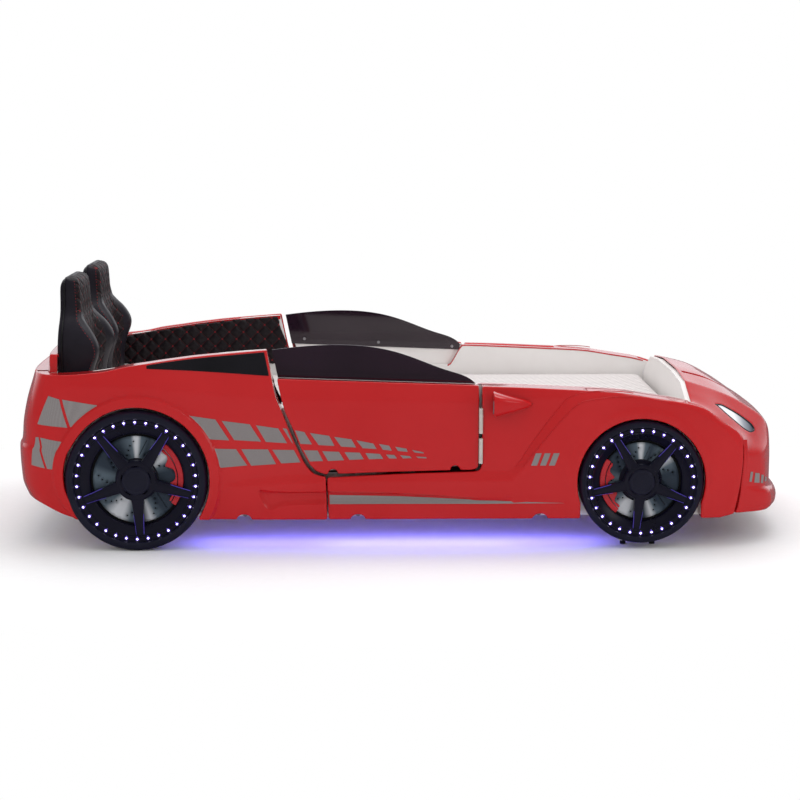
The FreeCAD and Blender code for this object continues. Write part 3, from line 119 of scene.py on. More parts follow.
def signed_area(outline):
    """Twice the area within a closed outline, positive where it runs anticlockwise."""
    return sum(a[0] * b[1] - a[1] * b[0] for a, b in zip(outline, np.roll(outline, -1, axis=0)))


def loop(*stretches, step=7.0):
    """A closed anticlockwise outline from stretches, without doubled points."""
    out = []
    for stretch in stretches:
        for p in run(stretch, step):
            if not out or math.dist(out[-1], p) > DOUBLED:
                out.append((float(p[0]), float(p[1])))
    if math.dist(out[0], out[-1]) < DOUBLED:
        out.pop()
    return np.array(out if signed_area(out) > 0 else out[::-1])


def arc(centre, radius, first, last, step=7.0):
    """Points along an arc between two angles in degrees."""
    count = max(3, int(abs(math.radians(last - first)) * radius / step))
    angles = np.radians(np.linspace(first, last, count + 1))
    return [(centre[0] + radius * math.cos(a), centre[1] + radius * math.sin(a)) for a in angles]


def box(x0, z0, x1, z1):
    """A closed upright rectangle."""
    return loop([(x0, z0), (x1, z0)], [(x1, z0), (x1, z1)], [(x1, z1), (x0, z1)], [(x0, z1), (x0, z0)])


def joined(*stretches):
    """One line of points through stretches that meet."""
    parts = [run(stretch) for stretch in stretches]
    return np.concatenate(parts[:1] + [part[1:] for part in parts[1:]])


def flipped(outline):
    """A closed outline mirrored from one side to the other."""
    return (outline * (-1, 1))[::-1]


def unit(rows):
    """Rows scaled to a length of one."""
    return rows / np.linalg.norm(rows, axis=-1, keepdims=True)


def shifted(outline, inset):
    """A closed outline moved towards its inside."""
    a = unit(outline - np.roll(outline, 1, axis=0))
    b = unit(np.roll(outline, -1, axis=0) - outline)
    na, nb = np.c_[-a[:, 1], a[:, 0]], np.c_[-b[:, 1], b[:, 0]]
    mid = na + nb
    mid /= np.maximum(np.linalg.norm(mid, axis=1), 1e-6)[:, None]
    stretch = 1 / np.maximum((mid * na).sum(1), 0.6)
    return outline + mid * (inset * stretch)[:, None]


def inside(points, outline):
    """Which of the points lie within a closed outline."""
    x, y = points[:, 0], points[:, 1]
    hit = np.zeros(len(points), bool)
    for (x1, y1), (x2, y2) in zip(outline, np.roll(outline, -1, axis=0)):
        if y1 != y2:
            hit ^= ((y1 > y) != (y2 > y)) & (x < (x2 - x1) * (y - y1) / (y2 - y1) + x1)
    return hit


def stretches_of(line, ok, least):
    """The runs of points along a line that are all marked, where they have more than the least count."""
    parts, start = [], None
    for i, flag in enumerate([*ok, False]):
        if flag and start is None:
            start = i
        if not flag and start is not None:
            if i - start > least:
                parts.append(line[start:i])
            start = None
    return parts


def quads(rows, count, closed=False):
    """Faces between neighbouring rows that have the same count of points each."""
    return [(k * count + i, k * count + (i + 1) % count, (k + 1) * count + (i + 1) % count, (k + 1) * count + i)
            for k in range(rows - 1) for i in range(count if closed else count - 1)]


def merged(parts):
    """One list of points and one of faces from several such pairs."""
    verts, faces = [], []
    for part_verts, part_faces in parts:
        base = len(verts)
        verts += [tuple(v) for v in part_verts]
        faces += [tuple(base + i for i in face) for face in part_faces]
    return verts, faces


def distance(points, line, closed=False):
    """Distance of each point from a polyline, and on which side of it the point lies."""
    best = np.full(len(points), 1e9)
    side = np.zeros(len(points))
    ends = np.roll(line, -1, axis=0) if closed else line[1:]
    for a, b in zip(line, ends):
        ab = b - a
        size = (ab ** 2).sum()
        if size < 1e-9:
            continue
        t = np.clip(((points - a) @ ab) / size, 0, 1)
        off = points - (a + t[:, None] * ab)
        d = np.linalg.norm(off, axis=1)
        near = d < best
        turn = ab[0] * off[:, 1] - ab[1] * off[:, 0]
        best = np.where(near, d, best)
        side = np.where(near, turn, side)
    return best, side


# ---------------------------------------------------------------- the body's outer surface

BELT = through([40, 93, 150, 200, 300, 400, 440], [519, 529, 536, 540, 542, 542, 541])
TAIL_REACH = through([60, 93, 150, 200, 289, 309, 317, 380, 440, 520, 592, 640],
                     [270, 290, 328, 347, 352, 351, 345, 338, 326, 301, 279, 262])
SHOULDER = through([-1250, -835, -766, -715, -616, -436, -226, 106, 217, 236, 393, 507, 700, 1100],
                   [512, 507, 503, 497, 488, 471, 465, 458, 455, 464, 470, 476, 490, 520])
# The two folds of the fender's crest, the shoulder above them and the scoop in the sill.
CREST_A = joined(
    [(-600, 200), (-404, 226), (-262, 236), (-218, 244)], [(-218, 244), (234, 243)],
    [(234, 243), (322, 247), (379, 323), (427, 390), (469, 442), (486, 463), (513, 477), (536, 484), (595, 488),
     (665, 485), (740, 472), (844, 462), (916, 444), (975, 402), (1012, 366), (1036, 330)])
CREST_B = joined(
    [(-600, 193), (-404, 208), (-262, 215), (-219, 217)], [(-219, 217), (329, 217)],
    [(329, 217), (379, 287), (429, 349), (468, 396), (504, 434), (535, 457), (597, 468), (657, 473), (720, 469),
     (844, 444), (907, 415), (969, 372), (1004, 332), (1020, 300)])
SCOOP_TOP = run([(-452, 193), (-436, 190), (-370, 184), (-227, 184), (-15, 178), (228, 162), (370, 152),
                 (505, 145)])
SCOOP_FOOT = run([(-452, 193), (-414, 127), (-362, 140), (-15, 143), (228, 142), (360, 143), (505, 144)])


def plan_corner(roundness, length, count=400):
    """A unit superellipse quarter for one end of the plan, and the distance along it."""
    angle = np.linspace(0, math.pi / 2, count)
    a, b = np.sin(angle) ** (2 / roundness), np.cos(angle) ** (2 / roundness)
    return a, b, np.r_[0, np.cumsum(np.hypot(np.diff(a) * length, np.diff(b) * HALF_WIDTH))]


def bent(u, start, sign, reach, half, roundness, length):
    """Turns the distance along the body into x and y, round one end of the plan."""
    a, b, s = plan_corner(roundness, length)
    past = np.maximum((u - start) * sign, 0)
    x = np.where(past > 0, start + sign * reach * np.interp(past, s, a), u)
    return x, half * np.interp(past, s, b)


def relief(u, z):
    """How far the moulded forms stand out from the plain side."""
    p = np.c_[u, z]
    near_a, side_a = distance(p, CREST_A)
    near_b, side_b = distance(p, CREST_B)
    below_a, below_b = side_a < 0, side_b < 0
    share = np.where(below_b, 1.0, np.where(below_a, near_a / np.maximum(near_a + near_b, 1e-6), 0.0))
    ramp = smooth(-590, -400, u)
    rise = 9.0 * share * ramp
    for wheel in (REAR_WHEEL, FRONT_WHEEL):
        cx, cz = wheel["spot"]
        away = np.hypot(u - cx, z - cz) - wheel["arch"]
        if wheel is FRONT_WHEEL:
            # The front arch runs straight down at its foot.
            away = np.where((z < 143) & (np.abs(u - cx) > 150), np.abs(u - cx) - 184.3, away)
        lip = 1 - smooth(wheel["band"] - 3, wheel["band"] + 5, away)
        rise = np.maximum(rise, 0) + wheel["lip"] * lip * (1 - 0.75 * share * ramp)
    top, side_top = distance(p, SCOOP_TOP)
    foot, side_foot = distance(p, SCOOP_FOOT)
    within = (side_top < 0) & (side_foot > 0) & (u > -455) & (u < 505)
    deep = np.minimum(smooth(0, 7, top), smooth(0, 12, foot))
    rise = rise - np.where(within, 11.0 * deep * (1 - smooth(60, 480, u)), 0.0)
    lean = z - SHOULDER(u)
    soft = 5.0
    fold = np.where(lean > 30, lean, soft * np.log1p(np.exp(np.clip(lean / soft, -30, 30))))
    return rise - 0.27 * fold


def skin_point(u, z):
    """The body's outer surface as x, y and z for the left side; u runs along the body."""
    half = BELT(z) + relief(u, z)
    x, y = bent(u, TAIL_START, -1.0, TAIL_REACH(z), half, TAIL_ROUND, TAIL_LENGTH)
    front = u > NOSE_START
    if front.any():
        xf, yf = bent(u, NOSE_START, 1.0, NOSE_LENGTH, half, NOSE_ROUND, NOSE_LENGTH)
        x, y = np.where(front, xf, x), np.where(front, yf, y)
    return np.c_[x, y, z]


def along(x):
    """Distance along the body for a plain x near the nose."""
    if x <= NOSE_START:
        return x
    a, _, s = plan_corner(NOSE_ROUND, NOSE_LENGTH)
    return NOSE_START + float(np.interp((x - NOSE_START) / NOSE_LENGTH, a, s))


def normals_at(surface, u, z, e=1.0):
    """The surface's unit normals at the given places."""
    return unit(np.cross(surface(u, z + e) - surface(u, z - e), surface(u + e, z) - surface(u - e, z)))


# ---------------------------------------------------------------- mesh builders

def finish_mesh(name, verts, faces, material, body="bed", sign=1, angle=35, slot=None, replaces=()):
    """A mesh object in metres, smooth but for its sharp edges, riding on a body."""
    verts = np.array(verts, float) * MM
    if sign < 0:
        verts[:, 1] *= -1
        faces = [tuple(reversed(f)) for f in faces]
    mesh = bpy.data.meshes.new(name)
    mesh.from_pydata([tuple(v) for v in verts], [], [tuple(f) for f in faces])
    mesh.validate()
    bm = bmesh.new()
    bm.from_mesh(mesh)
    bmesh.ops.remove_doubles(bm, verts=bm.verts, dist=1e-6)
    loose = [v for v in bm.verts if not v.link_faces]
    bmesh.ops.delete(bm, geom=loose, context="VERTS")
    limit = math.radians(angle)
    for face in bm.faces:
        face.smooth = True
    for edge in bm.edges:
        if len(edge.link_faces) == 2 and edge.calc_face_angle(0) > limit:
            edge.smooth = False
    bm.to_mesh(mesh)
    bm.free()
    obj = bpy.data.objects.new(name, mesh)
    bpy.context.scene.collection.objects.link(obj)
    mesh.materials.append(material)
    if body:
        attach(obj, body)
    if replaces:
        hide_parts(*replaces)
    return obj


def sliver(corners, least=0.25):
    """Whether a flat triangle is thinner than a quarter of a millimetre."""
    a, b, c = corners
    ab, ac = b - a, c - a
    longest = max(np.linalg.norm(ab), np.linalg.norm(ac), np.linalg.norm(c - b))
    return abs(ab[0] * ac[1] - ab[1] * ac[0]) < least * longest


def thicken(obj, name, wall_mm):
    """Gives a skin its wall, inwards from its outer face."""
    wall = obj.modifiers.new(name, "SOLIDIFY")
    wall.thickness = wall_mm * MM
    wall.offset = -1.0


def triangles(outlines, creases, grid, keep, clear=0.45):
    """Points and triangles that fill the outlines, with the creases as edges."""
    points, edges = [], []
    lines = [(np.array(o), True) for o in outlines] + [(np.array(c), False) for c in creases]
    for line, closed in lines:
        base = len(points)
        points += [tuple(p) for p in line]
        edges += [(base + i, base + i + 1) for i in range(len(line) - 1)]
        if closed:
            edges.append((base + len(line) - 1, base))
    edge_points = np.array(points)
    low, high = edge_points.min(0), edge_points.max(0)
    xs = np.arange(low[0] + grid / 2, high[0], grid)
    zs = np.arange(low[1] + grid / 2, high[1], grid * 0.866)
    gx, gz = np.meshgrid(xs, zs)
    gx[1::2] += grid / 2
    fill = np.c_[gx.ravel(), gz.ravel()]
    fill = fill[keep(fill)]
    for line, closed in lines:
        fill = fill[distance(fill, line, closed)[0] > grid * clear]
    points += [tuple(p) for p in fill]
    result = delaunay_2d_cdt([Vector(p) for p in points], edges, [], 0, 1e-4)
    flat = np.array([tuple(v) for v in result[0]])
    faces = [tuple(f) for f in result[2] if len(f) == 3]
    good = keep(np.array([flat[list(f)].mean(0) for f in faces]))
    return flat, [f for f, ok in zip(faces, good) if ok and not sliver(flat[list(f)])]


def panel(name, outline, surface, material, holes=(), creases=(), grid=8.0, round_edge=4.0, plane=None,
          wall=2.5, body="bed", sign=1, slot=None, replaces=()):
    """A moulded skin: filled outline, rounded rim and a return that runs in to a plane beside the boards."""
    inner = shifted(outline, round_edge)
    inner_holes = [shifted(h, -round_edge) for h in holes]

    def keep(p):
        ok = inside(p, inner)
        for h in inner_holes:
            ok &= ~inside(p, h)
        return ok

    trimmed = []
    for crease in map(np.array, creases):
        ok = keep(crease)
        for rim in [inner] + inner_holes:
            ok &= distance(crease, rim, True)[0] > RIM_CLEAR
        trimmed += stretches_of(crease, ok, 2)
    flat, faces = triangles([inner] + inner_holes, trimmed, grid, keep)
    parts = [(surface(flat[:, 0], flat[:, 1]), orient(flat, faces))]
    for rim, way in [(inner, 1)] + [(h, -1) for h in inner_holes]:
        normal = normals_at(surface, rim[:, 0], rim[:, 1])
        t = unit(np.roll(rim, -1, axis=0) - np.roll(rim, 1, axis=0))
        out = np.c_[t[:, 1], -t[:, 0]] * way
        rows = [surface(rim[:, 0], rim[:, 1])]
        for angle in (22, 45, 67, 90):
            a = math.radians(angle)
            off = out * round_edge * math.sin(a)
            rows.append(surface(rim[:, 0] + off[:, 0], rim[:, 1] + off[:, 1])
                        - normal * round_edge * (1 - math.cos(a)))
        if plane is not None:
            last = rows[-1]
            faces_side = np.abs(normal[:, 1]) > 0.6
            deep = last.copy()
            deep[:, 1] = plane
            rows.append(np.where(faces_side[:, None], deep, last - normal * END_RETURN))
        ring = quads(len(rows), len(rim), True)
        parts.append((np.concatenate(rows), ring if way > 0 else [quad[::-1] for quad in ring]))
    obj = finish_mesh(name, *merged(parts), material, body, sign, 40, slot, replaces)
    if wall:
        thicken(obj, "Wall", wall)
    return obj


def orient(flat, faces):
    """Every triangle turned the same way, so that it faces outwards on the left side."""
    a, b, c = (flat[[f[k] for f in faces]] for k in range(3))
    area = (b[:, 0] - a[:, 0]) * (c[:, 1] - a[:, 1]) - (b[:, 1] - a[:, 1]) * (c[:, 0] - a[:, 0])
    return [f[::-1] if size > 0 else f for f, size in zip(faces, area)]


def sticker(name, loops, surface, limit, body, sign, void=None):
    """Thin printed film pieces that lie on a moulded skin and end at its rim."""
    parts = []
    edge = shifted(limit, FILM_INSET)
    for piece in loops:
        piece = np.array(piece, float)
        piece = piece if signed_area(piece) > 0 else piece[::-1]
        dense = []
        for a, b in zip(piece, np.roll(piece, -1, axis=0)):
            count = max(1, int(math.dist(a, b) / 6))
            dense += [a + (b - a) * k / count for k in range(count)]
        dense = np.array(dense)
        within = inside(dense, edge)
        if not within.any():
            continue

        def keep(p):
            ok = inside(p, dense) & inside(p, edge)
            return ok if void is None else ok & ~inside(p, void)

        near = [dense]
        if void is not None and inside(dense, void).any():
            near.append(void)
        if not within.all():
            near.append(edge)
        flat, tri = triangles(near, [], 7.0, keep)
        if not tri:
            continue
        used = sorted({i for f in tri for i in f})
        index = {v: k for k, v in enumerate(used)}
        flat = flat[used]
        tri = orient(flat, [tuple(index[i] for i in f) for f in tri])
        parts.append((lifted(surface, FILM_LIFT)(flat[:, 0], flat[:, 1]), tri))
    if parts:
        finish_mesh(name, *merged(parts), FILM, body, sign, 60, "body_red")


# ---------------------------------------------------------------- materials

class Nodes:
    """Small helper that wires the nodes of one material, or of the world."""

    def __init__(self, name, owner=None):
        self.owner = owner or bpy.data.materials.new(name)
        self.owner.use_nodes = True
        self.tree = self.owner.node_tree
        self.shader = self.tree.nodes.get("Principled BSDF")
        self.output = self.tree.nodes.get("Material Output")

    def add(self, kind, **values):
        """A node with its inputs and settings; an underscore stands for a blank in an input's name."""
        made = self.tree.nodes.new(kind)
        for key, value in values.items():
            socket = key.replace("_", " ")
            if socket in made.inputs.keys():
                made.inputs[socket].default_value = value
            else:
                setattr(made, key, value)
        return made

    def link(self, a, out, b, socket):
        self.tree.links.new(a.outputs[out], b.inputs[socket])

    def set(self, **values):
        for key, value in values.items():
            self.shader.inputs[key.replace("_", " ")].default_value = value

    def coords(self, scale=(1.0, 1.0, 1.0)):
        """The object's own coordinates, scaled."""
        mapping = self.add("ShaderNodeMapping", Scale=scale)
        self.link(self.add("ShaderNodeTexCoord"), "Object", mapping, "Vector")
        return mapping

    def split(self):
        """The object's own coordinates as X, Y and Z."""
        parts = self.add("ShaderNodeSeparateXYZ")
        self.link(self.add("ShaderNodeTexCoord"), "Object", parts, "Vector")
        return parts

    def texture(self, kind, scale, **values):
        """A texture in the object's own coordinates."""
        made = self.add(kind, Scale=scale, **values)
        self.link(self.coords(), "Vector", made, "Vector")
        return made

    def noise(self, scale, detail=3.0):
        return self.texture("ShaderNodeTexNoise", scale, Detail=detail)

    def math(self, operation, *values):
        """A maths node on numbers, and on nodes that each come with the name of an output."""
        made = self.add("ShaderNodeMath", operation=operation)
        for index, value in enumerate(values):
            if isinstance(value, tuple):
                self.link(*value, made, index)
            else:
                made.inputs[index].default_value = value
        return made, "Value"

    def mapped(self, source, low, high, first=0.0, last=1.0, kind="LINEAR"):
        """A value brought from one range to another."""
        made = self.add("ShaderNodeMapRange", interpolation_type=kind, From_Min=low, From_Max=high,
                        To_Min=first, To_Max=last)
        self.link(*source, made, "Value")
        return made, "Result"

    def mixed(self, share, first, second, kind="ShaderNodeMixShader"):
        """Two shaders mixed; each input is a node with the name of an output."""
        made = self.add(kind)
        for index, source in enumerate((share, first, second)):
            self.link(*source, made, index)
        return made, "Shader"

    def ramp(self, source, out, stops):
        ramp = self.add("ShaderNodeValToRGB")
        elements = ramp.color_ramp.elements
        for element, (place, colour) in ((elements[0], stops[0]), (elements[1], stops[-1])):
            element.position = place
            element.color = (*colour, 1)
        for place, colour in stops[1:-1]:
            elements.new(place).color = (*colour, 1)
        self.link(source, out, ramp, "Fac")
        return ramp

    def drift(self, source, out, first, last, socket="Base Color", low=0.3, high=0.7):
        """A shader input that drifts between two colours."""
        self.link(self.ramp(source, out, [(low, first), (high, last)]), "Color", self.shader, socket)

    def bump(self, source, out, strength, distance_m, into=None):
        bump = self.add("ShaderNodeBump", Strength=strength, Distance=distance_m)
        self.link(source, out, bump, "Height")
        if into:
            self.link(into, "Normal", bump, "Normal")
        self.link(bump, "Normal", self.shader, "Normal")
        return bump


def srgb(r, g, b):
    """A screen colour as linear values."""
    def one(c):
        c /= 255
        return c / 12.92 if c <= 0.04045 else ((c + 0.055) / 1.055) ** 2.4
    return one(r), one(g), one(b)


def varied(name, colour_a, colour_b, scale, rough, bump=0.0, bump_scale=400.0, spread=0.05, **more):
    """A finish with slight drift in colour and gloss, and a fine surface."""
    m = Nodes(name)
    noise = m.noise(scale, 4)
    m.drift(noise, "Fac", colour_a, colour_b)
    m.drift(noise, "Fac", (rough - spread,) * 3, (rough + spread,) * 3, "Roughness")
    if bump:
        m.bump(m.noise(bump_scale, 2), "Fac", bump, 0.0006)
    m.set(**more)
    return m.owner


RED = varied("body_red_paint", srgb(184, 16, 20), srgb(191, 19, 23), 3.0, 0.24, 0.05, 34.0, 0.03,
             Coat_Weight=0.6, Coat_Roughness=0.06, Coat_IOR=1.5)
WHITE = varied("white_board_foil", srgb(228, 224, 222), srgb(236, 233, 231), 6.0, 0.42, 0.15, 900.0)
BLACK_GLOSS = varied("gloss_black_film", srgb(14, 13, 17), srgb(20, 18, 23), 9.0, 0.12, 0.03, 60.0, 0.02,
                     Coat_Weight=0.5, Coat_Roughness=0.05)
TYRE = varied("tyre_black_shell", srgb(16, 16, 38), srgb(21, 21, 46), 14.0, 0.42, 0.35, 500.0)
RIM = varied("rim_black_shell", srgb(11, 10, 27), srgb(16, 14, 36), 10.0, 0.3, 0.1, 300.0)
STEEL = varied("zinc_steel", srgb(150, 150, 154), srgb(176, 176, 180), 30.0, 0.32, 0.2, 600.0, Metallic=1.0)
PLY = varied("birch_ply", srgb(196, 160, 112), srgb(214, 182, 136), 8.0, 0.55, 0.3, 300.0)
GLIDE = varied("black_glide_plastic", srgb(18, 18, 19), srgb(28, 28, 29), 30.0, 0.5, 0.3, 600.0)
HINGE = varied("pale_zinc", srgb(196, 188, 180), srgb(216, 208, 200), 40.0, 0.4, 0.2, 600.0, Metallic=0.15)
MIRROR = varied("mirror_film", srgb(205, 208, 214), srgb(216, 219, 224), 12.0, 0.06, Metallic=1.0, spread=0.03)
CALIPER = varied("caliper_red_paint", srgb(170, 24, 34), srgb(188, 32, 42), 16.0, 0.3, 0.1, 400.0)
DARK_BARREL = varied("barrel_black", srgb(6, 6, 12), srgb(9, 9, 17), 12.0, 0.55, 0.1, 300.0)
DARK_TRAY = varied("lamp_tray", srgb(30, 34, 48), srgb(40, 46, 62), 20.0, 0.35, 0.1, 300.0)


def make_smoke():
    m = Nodes("smoke_acrylic")
    m.drift(m.noise(5.0), "Fac", srgb(30, 17, 28), srgb(37, 22, 34))
    m.set(Transmission_Weight=0.0, Roughness=0.06, Alpha=0.985, Coat_Weight=0.35, Coat_Roughness=0.04)
    return m.owner


def make_film():
    """Silver-grey printed film with a fine dot screen."""
    m = Nodes("silver_film")
    dots = m.add("ShaderNodeTexVoronoi", Scale=1.0, Randomness=0.25)
    m.link(m.coords((420.0, 420.0, 420.0)), "Vector", dots, "Vector")
    m.drift(dots, "Distance", srgb(128, 121, 121), srgb(152, 146, 145), low=0.15, high=0.6)
    m.set(Roughness=0.36, Metallic=0.25)
    return m.owner


def grained(name):
    """Leatherette's grain and low shine, without its colour."""
    m = Nodes(name)
    m.set(Specular_IOR_Level=0.22)
    return m, m.bump(m.texture("ShaderNodeTexVoronoi", 700.0), "Distance", 0.25, 0.0005)


def make_leatherette():
    m, _ = grained("black_leatherette")
    noise = m.noise(9.0)
    m.drift(noise, "Fac", srgb(27, 24, 31), srgb(35, 31, 40))
    m.drift(noise, "Fac", (0.36,) * 3, (0.46,) * 3, "Roughness")
    return m.owner


def make_thread():
    m = Nodes("red_thread")
    twist = m.texture("ShaderNodeTexWave", 260.0)
    m.drift(twist, "Color", srgb(110, 14, 24), srgb(158, 26, 38), low=0.2, high=0.8)
    m.bump(twist, "Color", 0.4, 0.0004)
    m.set(Roughness=0.6)
    return m.owner


def make_knit():
    """Off-white knitted cover with wavy grey lines that run along the bed."""
    m = Nodes("mattress_knit")
    split = m.split()

    def scaled(axis, period_mm):
        return m.math("MULTIPLY", (split, axis), 2 * math.pi / (period_mm * MM))

    sway = m.math("SINE", scaled("X", 26.0))
    wave = m.math("SINE", m.math("MULTIPLY_ADD", sway, 1.5, scaled("Y", 30.0)))
    spread = m.mapped(wave, -1.0, 1.0)
    tone = m.ramp(*spread, [(0.0, srgb(158, 148, 148)), (0.2, srgb(186, 178, 177)),
                            (0.5, srgb(222, 215, 214)), (1.0, srgb(232, 226, 225))])
    m.link(tone, "Color", m.shader, "Base Color")
    m.bump(*spread, 0.7, 0.002, m.bump(m.noise(1400.0, 1), "Fac", 0.35, 0.0006))
    m.set(Roughness=0.85, Sheen_Weight=0.25, Sheen_Roughness=0.5)
    return m.owner


def glow(name, colour, strength, base):
    """A finish that gives light of its own."""
    m = Nodes(name)
    m.drift(m.noise(200.0), "Fac", base, tuple(min(1.0, c * 1.1 + 0.01) for c in base))
    m.set(Emission_Color=(*colour, 1), Emission_Strength=strength, Roughness=0.3)
    return m.owner


SMOKE = make_smoke()
FILM = make_film()
LEATHER = make_leatherette()
THREAD = make_thread()
KNIT = make_knit()
LED = glow("led_light", (0.80, 0.72, 1.0), 9.0, (0.9, 0.88, 1.0))
UNDER_GLOW = glow("under_light", (0.12, 0.10, 1.0), 6.0, (0.2, 0.2, 0.9))


def paint(obj, material):
    """Gives a carried-over node its finish."""
    if not obj.material_slots:
        obj.data.materials.append(material)
    for slot in obj.material_slots:
        slot.link = "OBJECT"
        slot.material = material


# ---------------------------------------------------------------- outlines of the covers

def nose_u(points):
    """Side-view points with each x turned into a distance along the body."""
    return np.array([(along(x), z) for x, z in points])


CREST_A, CREST_B = nose_u(CREST_A), nose_u(CREST_B)


def notch(x, z, half=22.0, rise=16.0):
    """A half-round bite in an edge that runs towards -X."""
    return [(x + half * math.cos(a), z + rise * math.sin(a)) for a in np.linspace(0, math.pi, 9)]


def u_for_y(y):
    """Distance along the tail at which its plan has come in to y."""
    _, b, s = plan_corner(TAIL_ROUND, TAIL_LENGTH)
    return TAIL_START - float(np.interp(-y / HALF_WIDTH, -b, s))


TAIL_SEAM_Y = 400.0
TAIL_U = u_for_y(TAIL_SEAM_Y)
QUARTER = loop(
    [(-511, 94), (-631, 94)], arc(REAR_WHEEL["spot"], REAR_WHEEL["arch"], -34.6, 214.6), [(-995, 94), (-1019, 94)],
    [(-1019, 94), (-1076, 111), (-1135, 136), (-1190, 147), (TAIL_U, 150)],
    [(TAIL_U, 150), (TAIL_U, 537)],
    [(TAIL_U, 537), (-1120, 538), (-1049, 539.5), (-951, 546), (-894, 553), (-836, 564), (-774, 573),
     (-720, 581), (-617, 594), (-417, 611)],
    [(-417, 611), (-403, 534), (-389, 471), (-372, 429), (-353, 380), (-325, 313)],
    [(-325, 313), (-302, 266), (-282, 242), (-261, 233), (-240, 229)], [(-240, 229), (-236, 94)],
    [(-236, 94), (-467, 94)], notch(-489, 94))
FENDER = loop(
    [(-121, 94), (390, 94)], notch(412, 94)[::-1], [(434, 94), (534, 94)],
    [(534, 94), (534, 143)],
    arc(FRONT_WHEEL["spot"], FRONT_WHEEL["arch"], 199.4, -19.4), [(903, 143), (903, 94)],
    [(903, 94), (along(963), 94)],
    nose_u([(963, 94), (1008, 104)]), nose_u([(1008, 104), (1026, 200), (1033, 281), (1030, 334)]),
    nose_u([(1030, 334), (1017, 356), (994, 374), (960, 397), (916, 430), (871, 447)]),
    [(871, 447), (827, 457), (746, 470), (656, 484), (576, 489), (511, 492), (361, 499), (233, 503)],
    [(233, 503), (233, 264)], [(233, 264), (226, 248), (205, 243)], [(205, 243), (-15, 237), (-236, 227)],
    [(-236, 227), (-232, 94)], [(-232, 94), (-165, 94)], notch(-143, 94)[::-1])
DOOR = loop(
    [(-244, 236), (-236, 236)], notch(-218, 237, 15, 14)[::-1], [(-200, 238), (137, 246)],
    notch(152, 247, 15, 14)[::-1], [(170, 247), (205, 248), (219, 254), (223, 268)], [(223, 268), (223, 505)],
    [(223, 505), (-386, 526)], [(-386, 526), (-363, 432), (-338, 373), (-316, 318), (-288, 265)],
    [(-288, 265), (-268, 245), (-244, 236)])
WINDOW_TRIM = loop([(-777, 557), (-617, 549), (-409, 534)], [(-409, 534), (-424, 604)],
                   [(-424, 604), (-617, 588), (-720, 576), (-777, 567)], [(-777, 567), (-777, 557)])

ARCH_LINES = [np.array(arc(w["spot"], w["arch"] + out, first, last))
              for w, outs, first, last in ((REAR_WHEEL, (28, 37), 205, -25), (FRONT_WHEEL, (25, 34), 190, -12))
              for out in outs]
SHOULDER_LINE = np.array([(x, float(SHOULDER(x))) for x in range(-1100, 500, 7)])
SIDE_CREASES = [CREST_A, CREST_B, SHOULDER_LINE, SCOOP_TOP[1:-1], SCOOP_FOOT[1:-1]]


def clipped(line, others, gap=3.0):
    """The stretches of a line that stay clear of the other lines."""
    line = np.array(line)
    ok = np.ones(len(line), bool)
    for other in others:
        ok &= distance(line, np.array(other))[0] > gap
    return stretches_of(line, ok, 3)


CREASES = []
for line in SIDE_CREASES + ARCH_LINES:
    CREASES += clipped(line, CREASES)


# ---------------------------------------------------------------- nose

# Outer form of the nose, from its lip up to the foot end: points at the middle, off the middle, on the
# hood crease, above and below the lamp, and at the seam with the side cover.
NOSE_U = (0, 150, 300, 385, 450, 520)
NOSE_V = (0, 18, 32, 56, 76, 108, 158, 208, 254, 291, 361, 427, 513, 587)
NOSE = (
    ((1188, 0, 95), (1186, 150, 95), (1170, 300, 95), (1146, 378, 95), (1112, 442, 96), (1013, 518, 104)),
    ((1200, 0, 108), (1198, 150, 108), (1182, 300, 108), (1158, 378, 108), (1124, 442, 109), (1021, 520, 125)),
    ((1202, 0, 122), (1200, 150, 122), (1184, 300, 122), (1160, 378, 124), (1126, 442, 128), (1025, 520, 150)),
    ((1194, 0, 143), (1192, 150, 143), (1176, 300, 146), (1152, 378, 152), (1119, 442, 162), (1029, 519, 178)),
    ((1178, 0, 156), (1176, 150, 156), (1160, 300, 159), (1139, 378, 165), (1108, 442, 174), (1030, 518, 191)),
    ((1178, 0, 190), (1176, 150, 190), (1160, 300, 192), (1139, 378, 195), (1108, 442, 200), (1031, 518, 208)),
    ((1178, 0, 240), (1176, 150, 240), (1160, 300, 240), (1138, 378, 240), (1107, 442, 240), (1034, 518, 240)),
    ((1177, 0, 290), (1175, 150, 290), (1158, 300, 288), (1134, 378, 283), (1103, 442, 279), (1036, 518, 275)),
    ((1171, 0, 336), (1168, 150, 335), (1151, 300, 330), (1113, 380, 318), (1080, 442, 307), (1036, 516, 302)),
    ((1148, 0, 368), (1146, 150, 367), (1138, 301, 361), (1098, 380, 343), (1062, 442, 333), (1033, 509, 328)),
    ((1094, 0, 406), (1092, 150, 405), (1084, 302, 403), (1062, 380, 373), (1042, 442, 353), (1020, 495, 349)),
    ((1036, 0, 445), (1035, 150, 443), (1029, 303, 434), (1017, 375, 404), (1006, 440, 382), (992, 486, 370)),
    ((960, 0, 484), (960, 150, 481), (959, 304, 461), (956, 372, 436), (951, 437, 415), (944, 482, 405)),
    ((885, 0, 502), (885, 135, 501), (885, 305, 485), (885, 365, 460), (885, 425, 438), (885, 482, 438)),
)


